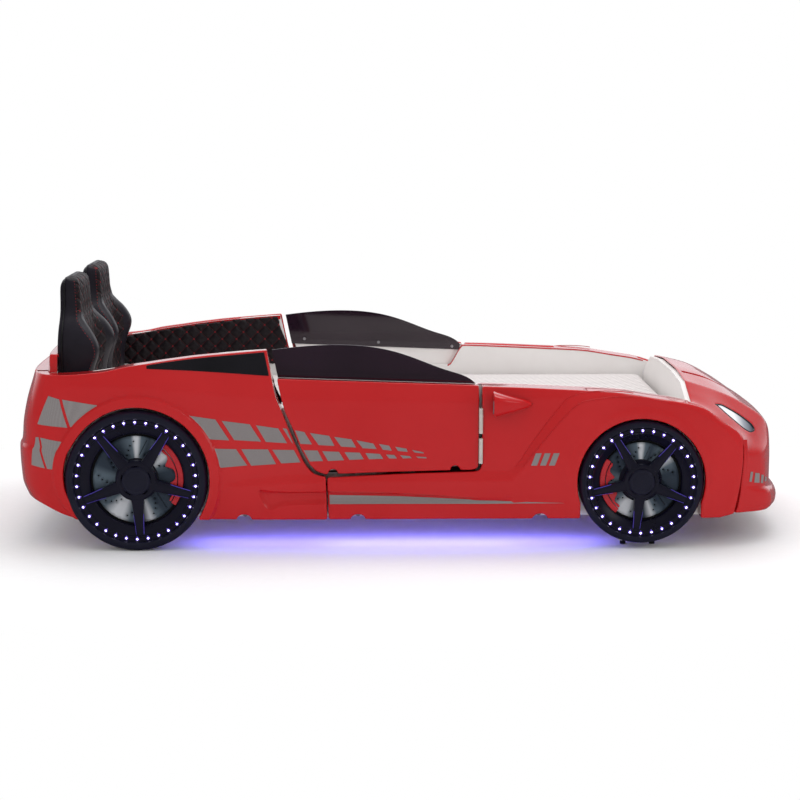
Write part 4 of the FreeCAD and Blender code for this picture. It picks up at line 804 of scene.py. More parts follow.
def across(knots, values, q):
    """Smooth curve across the columns of a network, one for each point."""
    step = np.diff(knots)
    rise = np.diff(values, axis=0) / step[:, None, None]
    slope = np.zeros_like(values)
    slope[0], slope[-1] = rise[0], rise[-1]
    for i in range(1, len(knots) - 1):
        w = step[i - 1] / (step[i - 1] + step[i])
        slope[i] = rise[i - 1] * (1 - w) + rise[i] * w
    i = np.clip(np.searchsorted(knots, q) - 1, 0, len(knots) - 2)
    n = np.arange(len(q))
    t = ((q - np.array(knots)[i]) / step[i])[:, None]
    return hermite(t, step[i][:, None], values[i, n], values[i + 1, n], slope[i, n], slope[i + 1, n])


NOSE_CURVES = [through(NOSE_V, [row[j] for row in NOSE]) for j in range(len(NOSE_U))]


def vent_half(v):
    """Half width of a hood slot."""
    return np.interp(v, [395, 440, 520, 575], [3.0, 7.0, 12.0, 11.0])


def vent_lane(v):
    """How far from the middle a hood slot runs."""
    return np.interp(v, [380, 587], [150, 186])


def nose_point(u, v):
    """The nose surface; u runs to the right side, v runs up from the lip."""
    size = np.abs(u)
    values = np.array([curve(v) for curve in NOSE_CURVES])
    both = np.concatenate([values[::-1][:-1] * np.array([1, -1, 1]), values])
    knots = np.array([-k for k in NOSE_U[::-1][:-1]] + list(NOSE_U), float)
    crease = NOSE_U[2]
    soft = across(knots, both, size)
    middle = across(knots[3:8], both[3:8], np.minimum(size, crease))
    outer = across(knots[7:], values[2:], np.maximum(size, crease))
    hard = np.where((size <= crease)[:, None], middle, outer)
    edge = smooth(235, 300, v)[:, None]
    p = soft * (1 - edge) + hard * edge
    p[:, 1] += np.maximum(size - NOSE_U[-1], 0)
    p[:, 1] *= -np.sign(u)
    p[:, 0] += np.minimum(v, 0) * 0.6
    # Groove across the bumper corner, and slots beside the middle of the hood.
    groove = np.exp(-((v - 183) / 3.5) ** 2) * smooth(300, 330, size) * (1 - smooth(430, 455, size))
    p[:, 0] -= 3.0 * groove
    cut = 1 - smooth(0.55, 1.0, np.abs(size - vent_lane(v)) / vent_half(v))
    p[:, 2] -= 15.0 * cut * smooth(385, 405, v) * (1 - smooth(566, 574, v))
    return p


NOSE_OUTLINE = box(-520, 0, 520, 587)
LAMP_POINTS = [(406, 498), (388, 470), (384, 430), (380, 372), (384, 318), (398, 292), (425, 300), (436, 345),
               (438, 395), (428, 450)]
LAMP = loop(LAMP_POINTS + LAMP_POINTS[:1], step=6.0)
NOSE_CREASES = [np.array([(s * 300.0, v) for v in range(240, 584, 7)]) for s in (-1, 1)]
NOSE_CREASES += [np.array([(s * (float(vent_lane(v)) + k * float(vent_half(v))), v) for v in range(398, 572, 6)])
                 for s in (-1, 1) for k in (-1.0, -0.5, 0.0, 0.5, 1.0)]


def lifted(surface, up):
    """The same surface moved out along its normals."""
    def place(u, v):
        return surface(u, v) + normals_at(surface, u, v) * up
    return place


def tail_arc(share, reach):
    """The tail's plan between the quarter covers, at a share of its half width."""
    return TAIL_START - reach * (1 - share ** TAIL_ROUND) ** (1 / TAIL_ROUND)


def tail_point(y, z):
    """The tail panel's outer surface, between the quarter covers."""
    return np.c_[tail_arc(np.clip(np.abs(y) / BELT(z), 0, 0.999), TAIL_REACH(z)), y, z]


TAIL_OUTLINE = box(-398, 151, 398, 538)

REAR_FLARE = np.array(arc(REAR_WHEEL["spot"], 255.5, 0, 360, 5.0)[:-1])

# Printed film pieces in side view.
REAR_FILM = [[(-1101, 475), (-1059, 466), (-1023, 381), (-1128, 387)],
             [(-1049, 466), (-925, 448), (-1005, 383), (-1014, 383)],
             [(-1133, 347), (-1121, 347), (-1092, 254), (-1144, 260)],
             [(-1114, 347), (-1033, 336), (-1058, 251), (-1084, 253)]]
UPPER_FILM = [[(-659, 418), (-571, 405), (-530, 341), (-595, 345)],
              [(-552, 401), (-468, 390), (-434, 337), (-515, 342)],
              [(-449, 387), (-382, 377), (-356, 332), (-420, 336)],
              [(-369, 378), (-304, 366), (-281, 328), (-340, 331)],
              [(-287, 363), (-229, 354), (-213, 323), (-261, 326)],
              [(-214, 351), (-162, 343), (-148, 318), (-193, 321)],
              [(-147, 340), (-96, 330), (-86, 313), (-128, 316)],
              [(-79, 329), (-48, 323), (-40, 308), (-67, 311)],
              [(-30, 320), (4, 314), (8, 304), (-21, 307)],
              [(21, 310), (55, 303), (57, 299), (29, 302)]]
LOWER_FILM = [[(-584, 316), (-510, 314), (-477, 264), (-571, 256)],
              [(-494, 314), (-414, 313), (-390, 268), (-465, 263)],
              [(-401, 312), (-336, 311), (-316, 273), (-374, 270)],
              [(-325, 311), (-264, 309), (-248, 277), (-302, 275)],
              [(-250, 307), (-200, 305), (-184, 279), (-233, 277)],
              [(-183, 304), (-137, 302), (-125, 282), (-168, 280)],
              [(-120, 301), (-76, 298), (-66, 283), (-109, 282)],
              [(-58, 296), (-33, 295), (-24, 284), (-48, 284)],
              [(-15, 294), (14, 291), (20, 285), (-6, 284)],
              [(33, 290), (63, 288), (66, 284), (40, 285)]]
SILL_FILM = [[(-368, 171), (-227, 171), (-15, 166), (228, 154), (350, 149), (493, 144.6), (350, 144),
              (228, 143), (-15, 144), (-358, 144)]]


# ---------------------------------------------------------------- body

for side, sign in SIDES:
    for name, outline, cover, body, plane, edge in (
            ("quarter_skin", QUARTER, "rear_quarter_cover", "bed", COVER_PLANE, 4.0),
            ("fender_skin", FENDER, "front_side_cover", "bed", COVER_PLANE, 5.0),
            ("door_face", DOOR, "door_skin", f"{side}_door", DOOR_PLANE, 4.0)):
        panel(f"{name}_{side}", outline, skin_point, RED, creases=CREASES, plane=plane, body=body, sign=sign,
              round_edge=edge, slot="body_red", replaces=(f"{cover}_{side}",))
    panel(f"quarter_window_film_{side}", WINDOW_TRIM, lifted(skin_point, 1.4), BLACK_GLOSS, grid=10.0,
          sign=sign, round_edge=1.4, wall=0, slot="gloss_black", replaces=(f"quarter_window_{side}",))
    for place, limit, pieces, body in (("quarter", QUARTER, REAR_FILM + UPPER_FILM + LOWER_FILM, "bed"),
                                       ("door", DOOR, UPPER_FILM + LOWER_FILM, f"{side}_door"),
                                       ("sill", FENDER, SILL_FILM, "bed")):
        sticker(f"{place}_film_{side}", pieces, skin_point, limit, body, sign, void=REAR_FLARE)
panel("nose_skin", NOSE_OUTLINE, nose_point, RED, creases=NOSE_CREASES, grid=9.0, holes=[LAMP, flipped(LAMP)],
      slot="body_red", replaces=("front_cover",))
panel("tail_skin", TAIL_OUTLINE, tail_point, RED, grid=12.0, slot="body_red", replaces=("rear_cover",))


# ---------------------------------------------------------------- ledges, seams and printed bars

def strip(name, lines, material, sign=1, slot="body_red", angle=30):
    """A skin between neighbouring lines of points."""
    verts = [tuple(p) for line in lines for p in line]
    return finish_mesh(name, verts, quads(len(lines), len(lines[0])), material, "bed", sign, angle, slot)


def moved(points, x=0.0, y=0.0, z=0.0):
    return points + np.array([x, y, z])


QUARTER_TOP = run([(TAIL_U, 537), (-1120, 538), (-1049, 539.5), (-951, 546), (-894, 553), (-836, 564),
                   (-774, 573), (-720, 581), (-617, 594), (-419, 610)])
FENDER_TOP = run([(234, 503), (361, 499), (511, 492), (576, 489), (656, 484), (746, 470), (827, 457),
                  (871, 447), (884, 442)])
DOOR_GAP = loop([(-338, 373), (-316, 318), (-288, 265)], [(-288, 265), (-268, 245), (-244, 236)],
                [(-244, 236), (150, 247), (205, 248)], [(205, 248), (219, 254), (225, 268)], step=8.0)
BOARD_TOP = run([(172, 429), (183, 435), (222, 498), (236, 501), (361, 496.5), (511, 489.5), (656, 481.5),
                 (746, 467.5), (827, 454.5), (868, 445)])
for side, sign in SIDES:
    for place, line, inner in (("quarter", QUARTER_TOP, BOARD_IN), ("fender", FENDER_TOP, BOARD_OUT)):
        edge = moved(skin_point(line[:, 0], line[:, 1]), z=-3.6)
        target = np.c_[np.maximum(edge[:, 0], -1079.0), np.minimum(edge[:, 1], inner), edge[:, 2]]
        way = target - edge
        edge = moved(edge + way / np.maximum(np.linalg.norm(way, axis=1), 1)[:, None] * 3, z=1.2)
        target[:, 2] = edge[:, 2]
        strip(f"{place}_ledge_{side}", [edge, (edge + target) / 2, target, moved(target, z=-14)], RED, sign)
    flat = np.c_[BOARD_TOP[:, 0], np.full(len(BOARD_TOP), BOARD_IN + 0.2), BOARD_TOP[:, 1] + 0.8]
    outer = flat.copy()
    outer[:, 1] = BOARD_OUT
    strip(f"board_edging_{side}", [outer, flat, moved(flat, z=-4.5)], RED, sign)
    # Painted shade: a near-black strip along the door's gap, in front of the board, where the gap only lies in
    # shade.
    slope = unit(np.gradient(DOOR_GAP, axis=0))
    across_gap = np.c_[slope[:, 1], -slope[:, 0]]
    painted_gap_shade = [np.insert(DOOR_GAP + across_gap * half, 1, 480.5, axis=1) for half in (-7.0, 7.0)]
    strip(f"door_seal_{side}", painted_gap_shade, DARK_BARREL, sign, "rim_black")
    seam = run([(1008, 106), (1026, 200), (1033, 281), (1030, 332)])
    back = [(x - 12, 514, z) for x, z in seam]
    front = [(x + 14, 508 - 5 * (z < 130), z) for x, z in seam]
    strip(f"seam_backing_{side}", [back, front], RED, sign)


def lid_plan(inset):
    """Plan of the raised tail lid, wrapped round the ends of the board behind the seats."""
    y = np.linspace(-446, 446, 75)
    x = tail_arc(np.abs(y) / LID_HALF, 252 - inset)
    ends = [(px + inset * 0.2, py - inset * 0.35)
            for px, py in ((-1056, 453), (-1066, 453), (-1074, 452), (-1078.5, 449.5))]
    return [(px, -py) for px, py in ends] + list(zip(x, y)) + ends[::-1]


rows = [np.array([(x, y, z) for x, y in lid_plan(inset)])
        for inset, z in ((-3, 536), (-1, 541), (0, 549), (2, 574), (4, 584), (8, 589), (14, 591), (22, 591.3))]
inner = np.c_[np.maximum(rows[-1][:, 0], -1058.5), np.clip(rows[-1][:, 1], -444, 444), rows[-1][:, 2]]
strip("tail_lid", rows + [inner, inner * (1, 1, 0) + (0, 0, 583)], RED, angle=50)
edge_y = np.linspace(-399, 399, 61)
edge = moved(tail_point(edge_y, np.full(61, 538.0)), 2.5, 0, -1.6)
strip("tail_shelf", [edge, np.c_[tail_arc(np.abs(edge_y) / LID_HALF, 250), edge[:, 1:]]], RED)

BUMPER_FILM = [[(1061, 224), (1071, 222), (1066, 178), (1057, 179)],
               [(1079, 216), (1096, 210), (1097, 172), (1076, 174)],
               [(1104, 203), (1115, 199), (1112, 169), (1102, 172)],
               [(1121, 193), (1131, 187), (1129, 175), (1119, 173)]]


def nose_place(x, z):
    """The nose parameters at which the corner of the bumper has the given x."""
    u, v = np.linspace(330, 518, 95), z - 82.0
    p = nose_point(u, np.full(95, v))
    return float(np.interp(-x, -p[:, 0], u)), v


SLANT_BARS = [[(left + 395, 300), (left + 413, 300), (left + 399, 262), (left + 381, 262)] for left in (0, 27, 54)]
for side, sign in SIDES:
    bars = [[nose_place(x, z) for x, z in bar] for bar in BUMPER_FILM]
    bars = [[(-sign * u, v) for u, v in bar] for bar in bars]
    sticker(f"bumper_film_{side}", bars, nose_point, NOSE_OUTLINE, "bed", 1)
for side, sign in SIDES:
    sticker(f"fender_film_{side}", SLANT_BARS, skin_point, FENDER, "bed", sign)


# ---------------------------------------------------------------- wheels

# Painted reflection: a dim violet glowing finish for strips on the spoke edges, which are no lamps.
PAINTED_GLINT_VIOLET = glow("violet_painted_glint", (0.14, 0.08, 0.8), 0.22, (0.05, 0.04, 0.2))
# Painted glow: a violet glowing finish for the flat halo round each bead and for the beads' painted reflection;
# neither is a lamp.
PAINTED_LED_HALO = glow("violet_painted_halo", (0.24, 0.14, 1.0), 0.62, (0.10, 0.08, 0.32))


def make_brake_silver():
    """Turned silver with painted reflections: bright and dark sectors set by the angle round its axle, and fine
    turned rings as a bump.
    """
    m = Nodes("spun_silver_painted_glints")
    split = m.split()
    flat = m.add("ShaderNodeCombineXYZ")
    m.link(split, "X", flat, "X")
    m.link(split, "Z", flat, "Y")
    painted_glint_sector = m.add("ShaderNodeTexGradient", gradient_type="RADIAL")
    m.link(flat, "Vector", painted_glint_sector, "Vector")
    # Painted highlights: the ramp over the angle gives bright sectors that stand in for reflections of the studio.
    painted_glint_tones = {"d": srgb(62, 74, 88), "m": srgb(112, 128, 140), "l": srgb(244, 247, 252)}
    tone = m.ramp(painted_glint_sector, "Color", [(place, painted_glint_tones[key]) for place, key in (
        (0.0, "m"), (0.05, "d"), (0.11, "m"), (0.15, "l"), (0.185, "l"), (0.22, "m"), (0.27, "d"), (0.30, "l"),
        (0.325, "m"), (0.36, "d"), (0.54, "d"), (0.58, "m"), (0.605, "l"), (0.635, "l"), (0.66, "m"), (0.70, "d"),
        (0.73, "m"), (0.745, "l"), (0.757, "l"), (0.77, "m"), (0.82, "d"), (0.94, "d"), (0.975, "m"))])
    rings = m.add("ShaderNodeVectorMath", operation="LENGTH")
    m.link(flat, "Vector", rings, 0)
    m.link(tone, "Color", m.shader, "Base Color")
    m.bump(*m.math("SINE", m.math("MULTIPLY", (rings, "Value"), 5200.0)), 0.12, 0.0003)
    m.set(Metallic=0.55, Roughness=0.38)
    return m.owner


SPUN_PAINTED_GLINTS = make_brake_silver()


def turned(name, profile, centre, material, sign, segments=120, angle=35, slot="rim_black", replaces=()):
    """A ring turned about a wheel's axle from radius and depth pairs; its origin is on the axle."""
    verts = []
    for k in range(segments):
        a = 2 * math.pi * k / segments
        verts += [(r * math.cos(a), y, r * math.sin(a)) for r, y in profile]
    faces = [tuple(i % len(verts) for i in quad) for quad in quads(segments + 1, len(profile))]
    return placed(name, verts, faces, centre, material, sign, angle, slot, replaces)


def placed(name, verts, faces, centre, material, sign, angle, slot, replaces=()):
    """A piece of the bed whose origin is on a wheel's axle."""
    obj = finish_mesh(name, verts, faces, material, "", sign, angle)
    obj.location = (centre[0] * MM, 0, centre[1] * MM)
    bpy.context.view_layer.update()
    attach(obj, "bed")
    if replaces:
        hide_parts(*replaces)
    return obj


def ball(radius, rings=6, segments=10):
    """A ball as points and faces."""
    verts = [(0, radius, 0)]
    for r in range(1, rings):
        a = math.pi * r / rings
        for s in range(segments):
            b = 2 * math.pi * s / segments
            across_, up = radius * math.sin(a) * math.cos(b), radius * math.sin(a) * math.sin(b)
            verts.append((across_, radius * math.cos(a), up))
    verts.append((0, -radius, 0))
    faces = [(0, 1 + (s + 1) % segments, 1 + s) for s in range(segments)]
    for a, b, c, d in quads(rings - 1, segments, True):
        faces.append((1 + a, 1 + b, 1 + c, 1 + d))
    last = 1 + (rings - 2) * segments
    faces += [(last + s, last + (s + 1) % segments, len(verts) - 1) for s in range(segments)]
    return np.array(verts, float), faces


def beads(name, w, inset, depth, size, squash, centre, material, sign):
    """The light strip's beads, or flat glowing copies of them that paint their halo and their reflection on the
    track, set round a wheel.
    """
    shape, faces = ball(size)
    parts = []
    for k in range(w["beads"]):
        a = 2 * math.pi * (k + 0.5) / w["beads"]
        radius = w["led"] - inset
        parts.append((shape * (1, squash, 1) + (radius * math.cos(a), depth, radius * math.sin(a)), faces))
    placed(name, *merged(parts), centre, material, sign, 180, "light_beads")


def spoke_axes(w, sign):
    """Directions along and across each of the five spokes; the right side mirrors the left one's turn."""
    for k in range(5):
        a = math.radians(-90 + 72 * k + w["turn"] * sign)
        yield (math.cos(a), math.sin(a)), (-math.sin(a), math.cos(a))


def spoke_star(name, w, centre, sign, replaces):
    """Five crowned spokes that run from the hub to the rim's step."""
    parts = []
    reach, scale = w["led"] - 7, w["led"] / FRONT_WHEEL["led"]
    radii = [26, 44, 52, 62, 78, 100, 122, reach - 10, reach]
    half = [17, 17.5, 17, 16, 14.8, 13.2, 11.8, 11.0, 13.0]
    crown = [541, 541, 540, 539, 538, 537, 536, 534.5, 533]
    for (ax, az), (bx, bz) in spoke_axes(w, sign):
        verts = []
        for r, h, top in zip(radii, half, crown):
            r, h = r * scale if r < reach - 12 else r, h * scale
            for off, y in ((-h, 518), (-h, top - 5), (-h + 1.2, top - 2), (-h + 3.6, top - 0.6), (0, top + 0.6),
                           (h - 3.6, top - 0.6), (h - 1.2, top - 2), (h, top - 5), (h, 518)):
                verts.append((ax * r + bx * off, y, az * r + bz * off))
        parts.append((verts, quads(len(radii), 9)))
    placed(name, *merged(parts), centre, RIM, sign, 32, "rim_black", replaces)


def painted_spoke_glints(name, w, centre, sign):
    """Painted reflection of the light strip: dim violet glowing strips along the outer half of each spoke's edges.
    """
    parts = []
    scale = w["led"] / FRONT_WHEEL["led"]
    first, last, count = 92 * scale, w["led"] - 9, 9
    for (ax, az), (bx, bz) in spoke_axes(w, sign):
        for s in (-1, 1):
            verts = []
            for i in range(count):
                share = i / (count - 1)
                r = first + (last - first) * share
                h = np.interp(r / scale, [78, 100, 122, 150], [15.5, 13.5, 12.0, 11.0]) * scale
                top = np.interp(r / scale, [78, 100, 122, 150], [538, 537, 536, 534.5])
                for off, y in ((h + 0.15, top - 3.2), (h - 1.2 - 0.5 * (0.25 + 0.75 * share), top - 0.8)):
                    verts.append((ax * r + s * bx * off, y, az * r + s * bz * off))
            faces = quads(count, 2)
            parts.append((verts, faces if s > 0 else [quad[::-1] for quad in faces]))
    placed(name, *merged(parts), centre, PAINTED_GLINT_VIOLET, sign, 60, "light_beads")


def ring_outline(radius, count, centre=(0, 0)):
    return np.array([(centre[0] + radius * math.cos(2 * math.pi * k / count),
                      centre[1] + radius * math.sin(2 * math.pi * k / count)) for k in range(count)])


def polar(radius, angle):
    return radius * math.cos(angle), radius * math.sin(angle)


def brake_disc(name, w, centre, sign):
    """Drilled and slotted disc with a stepped hat."""
    radius = w["disc"]
    holes = []
    for k in range(9):
        a = 2 * math.pi * k / 9 + 0.25
        for back, lag in ((17, 0.0), (29, 0.11), (42, 0.20), (55, 0.30)):
            holes.append(ring_outline(2.7, 10, polar(radius - back, a + lag)))
        if k % 3 == 1:
            first, last = np.array(polar(radius - 60, a + 0.52)), np.array(polar(radius - 8, a + 0.36))
            t = unit(last - first)
            n = np.array([-t[1], t[0]]) * 0.9
            holes.append(np.array([first - n, last - n, last + n, first + n]))

    def keep(p):
        ok = np.hypot(p[:, 0], p[:, 1]) < radius
        for h in holes:
            ok &= ~inside(p, h)
        return ok

    flat, faces = triangles([ring_outline(radius, 140)] + holes, [], 11.0, keep)
    obj = placed(name, [(x, 510.0, z) for x, z in flat], orient(flat, faces), centre, SPUN_PAINTED_GLINTS, sign, 40,
                 "disc_silver", ("brake_discs",))
    thicken(obj, "Thickness", 5)
    turned(name + "_hat", [(66, 510), (63, 511), (60, 515), (57, 517.5), (20, 518)], centre, RIM, sign, 80)


def caliper(name, w, centre, sign):
    """Two-lobed caliper over the rim of the disc, in two halves with a groove between."""
    disc, middle, spread = w["disc"], math.radians(w["caliper"]), math.radians(43)

    def edge(depth, first, last, count=40, share=1.0):
        """Points at a depth inside the disc's rim, from one end of the caliper to the other."""
        return [polar(disc - depth(t), middle + spread * share * t) for t in np.linspace(first, last, count)]

    def lobe(t):
        """Depth of the two-lobed inner edge."""
        return (16 + math.exp(-((abs(t) - 0.42) / 0.17) ** 2) * 21
                + math.exp(-((abs(t) - 0.9) / 0.12) ** 2) * 3)

    band = edge(lambda t: -7, -1, 1) + edge(lambda t: 9, 1, -1)
    lobes = edge(lambda t: 11.5, -1, 1, share=0.97) + edge(lobe, 1, -1, 80, 0.97)
    for part, outline, top in (("band", band, 516.0), ("lobes", lobes, 517.5)):
        dense = loop(*zip(outline, outline[1:] + outline[:1]), step=4.0)

        def face(u, v, top=top):
            return np.c_[centre[0] + u, np.full(len(u), top), centre[1] + v]

        panel(f"{name}_{part}", dense, face, CALIPER, round_edge=1.6, plane=511.0, wall=0, sign=sign,
              slot="caliper_red", replaces=("brake_calipers",))


def wheel(place, w, side, sign):
    """One lit wheel, from the tyre's ring in to the hub cap."""
    centre = (w["x"], w["z"])
    tyre, led, disc, cap = (w[key] for key in ("tyre", "led", "disc", "cap"))
    k = led / FRONT_WHEEL["led"]
    at = f"{place}_{side}"
    turned(f"tyre_shell_{at}",
           [(tyre - 16, 480), (tyre - 3, 481), (tyre - 0.6, 485), (tyre, 492), (tyre - 0.2, 532),
            (tyre - 1.5, 538), (tyre - 4.5, 543), (tyre - 9, 546.2), (tyre - 13, 547.3), (tyre - 14, 546.8),
            (tyre - 15, 547.6), (tyre - 20, 548), (led + 13, 548), (led + 10.5, 547.4), (led + 9, 545),
            (led + 8, 541), (led + 7, 536)],
           centre, TYRE, sign, 144, 30, "tyre_black", (f"tyre_{at}",))
    turned(f"rim_ring_{at}",
           [(led + 9, 540), (led + 6.5, 542), (led + 4.5, 541), (led + 3.5, 537), (led - 4.5, 536), (led - 6, 538),
            (led - 9, 537.5), (led - 11, 534), (disc + 15, 524), (disc + 9, 519), (disc + 7, 512),
            (disc + 7, 505)],
           centre, RIM, sign, 144, 30, replaces=(f"rim_{at}",))
    turned(f"rim_back_{at}", [(disc + 8, 504.5), (30, 504.5)], centre, DARK_BARREL, sign, 60)
    spoke_star(f"spokes_{at}", w, centre, sign, (f"rim_{at}",))
    painted_spoke_glints(f"spoke_glints_{at}", w, centre, sign)
    turned(f"hub_flange_{at}", [(55 * k, 518), (55 * k, 536), (53 * k, 539.5), (50 * k, 541), (44 * k, 541.4),
                                (41 * k, 540)], centre, RIM, sign, 90, 40)
    turned(f"led_track_{at}", [(led + 3.6, 536.6), (led, 537.0), (led - 4.2, 536.6)], centre, RIM, sign, 144,
           replaces=(f"led_strip_{at}",))
    beads(f"led_beads_{at}", w, 0.0, 537.5, 2.2, 0.7, centre, LED, sign)
    # Painted light: a flat glowing disc round each bead as its halo, and flat glowing copies further in as the
    # beads' reflection on the track.
    beads(f"led_halo_{at}", w, 0.0, 536.9, 5.4, 0.12, centre, PAINTED_LED_HALO, sign)
    beads(f"led_shine_{at}", w, 6.6, 537.2, 2.2, 0.35, centre, PAINTED_LED_HALO, sign)
    turned(f"hub_cap_{at}",
           [(cap + 1, 536), (cap + 0.6, 541), (cap - 1, 543.6), (cap - 4, 545), (cap - 9, 545.4),
            (cap - 11, 544.6), (cap - 13, 545.2), (12, 547.0), (0.01, 547.3)],
           centre, TYRE, sign, 80, replaces=("hub_caps",))
    brake_disc(f"brake_disc_{at}", w, centre, sign)
    caliper(f"caliper_{at}", w, centre, sign)


for side, sign in SIDES:
    wheel("rear", REAR_WHEEL, side, sign)
    wheel("front", FRONT_WHEEL, side, sign)


# ---------------------------------------------------------------- lamps

def make_lamp():
    """Smoked lamp cover that glows white in a band over its upper rear part and goes dark towards both ends."""
    m = Nodes("lit_lamp_cover")
    part = m.mapped((m.split(), "X"), 0.935, 1.105)
    light = m.ramp(*part, [(0.0, (0.02, 0.03, 0.08)), (0.10, (0.03, 0.05, 0.14)), (0.24, (0.9, 0.92, 1.0)),
                           (0.52, (1.0, 1.0, 1.0)), (0.70, (0.30, 0.32, 0.36)), (0.86, (0.03, 0.035, 0.045)),
                           (1.0, (0.012, 0.014, 0.02))])
    flutes = m.noise(240.0, 2)
    m.drift(flutes, "Fac", srgb(34, 38, 52), srgb(46, 50, 66))
    m.link(light, "Color", m.shader, "Emission Color")
    m.bump(flutes, "Fac", 0.1, 0.0004)
    m.set(Emission_Strength=0.95, Roughness=0.08, Coat_Weight=0.6, Coat_Roughness=0.03)
    return m.owner


LAMP_COVER = make_lamp()
for side, sign in SIDES:
    outline = LAMP if sign < 0 else flipped(LAMP)
    panel(f"lamp_cover_{side}", shifted(outline, 3.0), lifted(nose_point, -2.2), LAMP_COVER,
          round_edge=1.5, wall=0, slot="lamp_clear", replaces=(f"headlamp_lens_{side}",))
    rim = []
    for inset, up in ((-1.5, -1.0), (0.0, 0.6), (2.5, 0.6), (4.5, -2.5)):
        ring = shifted(outline, inset)
        rim += [tuple(p) for p in lifted(nose_point, up)(ring[:, 0], ring[:, 1])]
    finish_mesh(f"lamp_rim_{side}", rim, [(a, d, c, b) for a, b, c, d in quads(4, len(outline), True)],
                BLACK_GLOSS, slot="lamp_dark")
    panel(f"lamp_tray_{side}", shifted(outline, 5.0), lifted(nose_point, -16.0), DARK_TRAY, grid=12.0,
          round_edge=2.0, wall=0, slot="lamp_dark", replaces=("headlamp_trays",))


# ---------------------------------------------------------------- wing mirrors

def mirror_pod(side, sign):
    """The wing mirror's rounded housing, on its seat at the side board."""
    verts, count, seat = [], 40, 538
    stations = [0.0, 0.012, 0.05, 0.12, 0.25, 0.4, 0.55, 0.7, 0.82, 0.92, 0.98, 1.0]
    for share in stations:
        swell = 1 - 0.035 * (share < 0.01)
        low, high = 417 + 24 * share, 493 - 36 * share
        out = 547 + 71 * (1 - share ** 1.7) * swell
        middle, tall = (low + high) / 2, (high - low) / 2 * swell * (1 - 0.75 * smooth(0.9, 1.0, share))
        wide = (out - seat) / 2
        for k in range(count):
            a = 2 * math.pi * k / count
            c, s = math.cos(a), math.sin(a)
            y = seat + wide + wide * math.copysign(abs(c) ** 0.5, c)
            z = middle + tall * math.copysign(abs(s) ** 0.55, s) - 6 * (c > 0) * c * s
            verts.append((264 + 120 * share, y, z))
    faces = quads(len(stations), count, True)
    faces.append(tuple(range(count)))
    faces.append(tuple(reversed(range(len(verts) - count, len(verts)))))
    finish_mesh(f"mirror_pod_{side}", verts, faces, RED, "bed", sign, 50, "body_red", (f"mirror_housing_{side}",))


for side, sign in SIDES:
    mirror_pod(side, sign)


# ---------------------------------------------------------------- seats, lining and mattress

def make_quilt(name, pitch, axes):
    """Leatherette with sewn diamonds and red thread along the seams."""
    m, soft = grained(name)
    split = m.split()
    a, b = (m.math("DIVIDE", (split, axis), pitch * MM) for axis in axes)
    sloped = [m.math(kind, a, b) for kind in ("ADD", "SUBTRACT")]
    masks = [m.math("PINGPONG", line, 0.5) for line in sloped]
    dashes = [m.math("PINGPONG", m.math("MULTIPLY", line, 7.0), 0.5) for line in sloped]
    near = m.math("MINIMUM", *masks)
    seam = m.mapped(near, 0.012, 0.03, 1.0, 0.0)
    # The stitches show through near a crossing, and are faint between the crossings.
    cross = m.mapped(m.math("MAXIMUM", *masks), 0.03, 0.12, 1.0, 0.14)
    sewn = m.math("GREATER_THAN", m.math("MAXIMUM", *dashes), 0.2)
    thread = m.math("MULTIPLY", m.math("MULTIPLY", seam, sewn), cross)
    tone = m.ramp(m.noise(9.0), "Fac", [(0.3, srgb(24, 18, 22)), (0.7, srgb(31, 24, 28))])
    # Sockets of the mix node for colours: 0 is the share, 6 and 7 the colours, and 2 the colour that comes out.
    mix = m.add("ShaderNodeMix", data_type="RGBA")
    m.link(*thread, mix, 0)
    m.link(tone, "Color", mix, 6)
    mix.inputs[7].default_value = (*srgb(190, 20, 34), 1)
    m.link(mix, 2, m.shader, "Base Color")
    m.bump(*m.mapped(near, 0.0, 0.22), 0.7, 0.006, soft)
    m.set(Roughness=0.5)
    return m.owner


SEAT_QUILT = make_quilt("quilted_leatherette", 46.0, "YZ")
LINING_PITCH = 50.0
LINING_QUILT = make_quilt("quilted_lining", LINING_PITCH, "XZ")

# A seat's section at each height: half width, and x of the bolster's crest, the middle, the side and the back.
SEAT_Y, SEAT_FOOT, SEAT_TOP = 222.0, 416, 820
seat_width = through([415, 560, 610, 650, 680, 705, 730, 760, 785, 803, 812, 817, 820],
                     [197, 200, 198, 186, 166, 142, 126, 120, 119, 115, 107, 96, 78])
seat_crest = through([415, 490, 548, 576, 598, 616, 636, 656, 680, 700, 762, 800, 812, 820],
                     [-967, -965, -953, -941, -937, -941, -951, -965, -986, -998, -1003, -1004, -1008, -1020])
seat_middle = through([415, 520, 640, 690, 715, 740, 800, 812, 820],
                      [-986, -988, -992, -1000, -1004, -1001, -1002, -1008, -1022])
seat_side = through([415, 490, 548, 590, 620, 656, 700, 762, 800, 814, 820],
                    [-974, -971, -958, -946, -953, -979, -1006, -1012, -1014, -1020, -1027])
seat_back = through([415, 806, 813, 817, 820], [-1047.5, -1047.5, -1045.5, -1042, -1036])


def seat_section(z, count=26):
    """Half of a seat's plan at one height, from the middle of the front to the middle of the back."""
    w, crest, mid, side, back = (float(f(z)) for f in (seat_width, seat_crest, seat_middle, seat_side, seat_back))
    front = through([0, 0.4, 0.56, 0.8, 0.92, 0.975, 1.0],
                    [mid, mid + 1, mid + (crest - mid) * 0.4, crest - 1.5, crest,
                     crest + (side - crest) * 0.45, side])
    points = [(w * t ** 0.9, float(front(t ** 0.9))) for t in np.linspace(0, 1, count)]
    corner, deep = min(6.0, (side - back) * 0.4), max(side - back, 1)
    points += [(w + 1.5 * math.sin(math.pi * (x - back) / deep), x)
               for x in np.linspace(side, back + corner, 7)[1:]]
    points += [(w - 12 + 12 * math.cos(a), back + corner - corner * math.sin(a))
               for a in np.linspace(0, math.pi / 2, 5)[1:]]
    points += [((w - 12) * t, back) for t in np.linspace(1, 0, 8)[1:]]
    return points


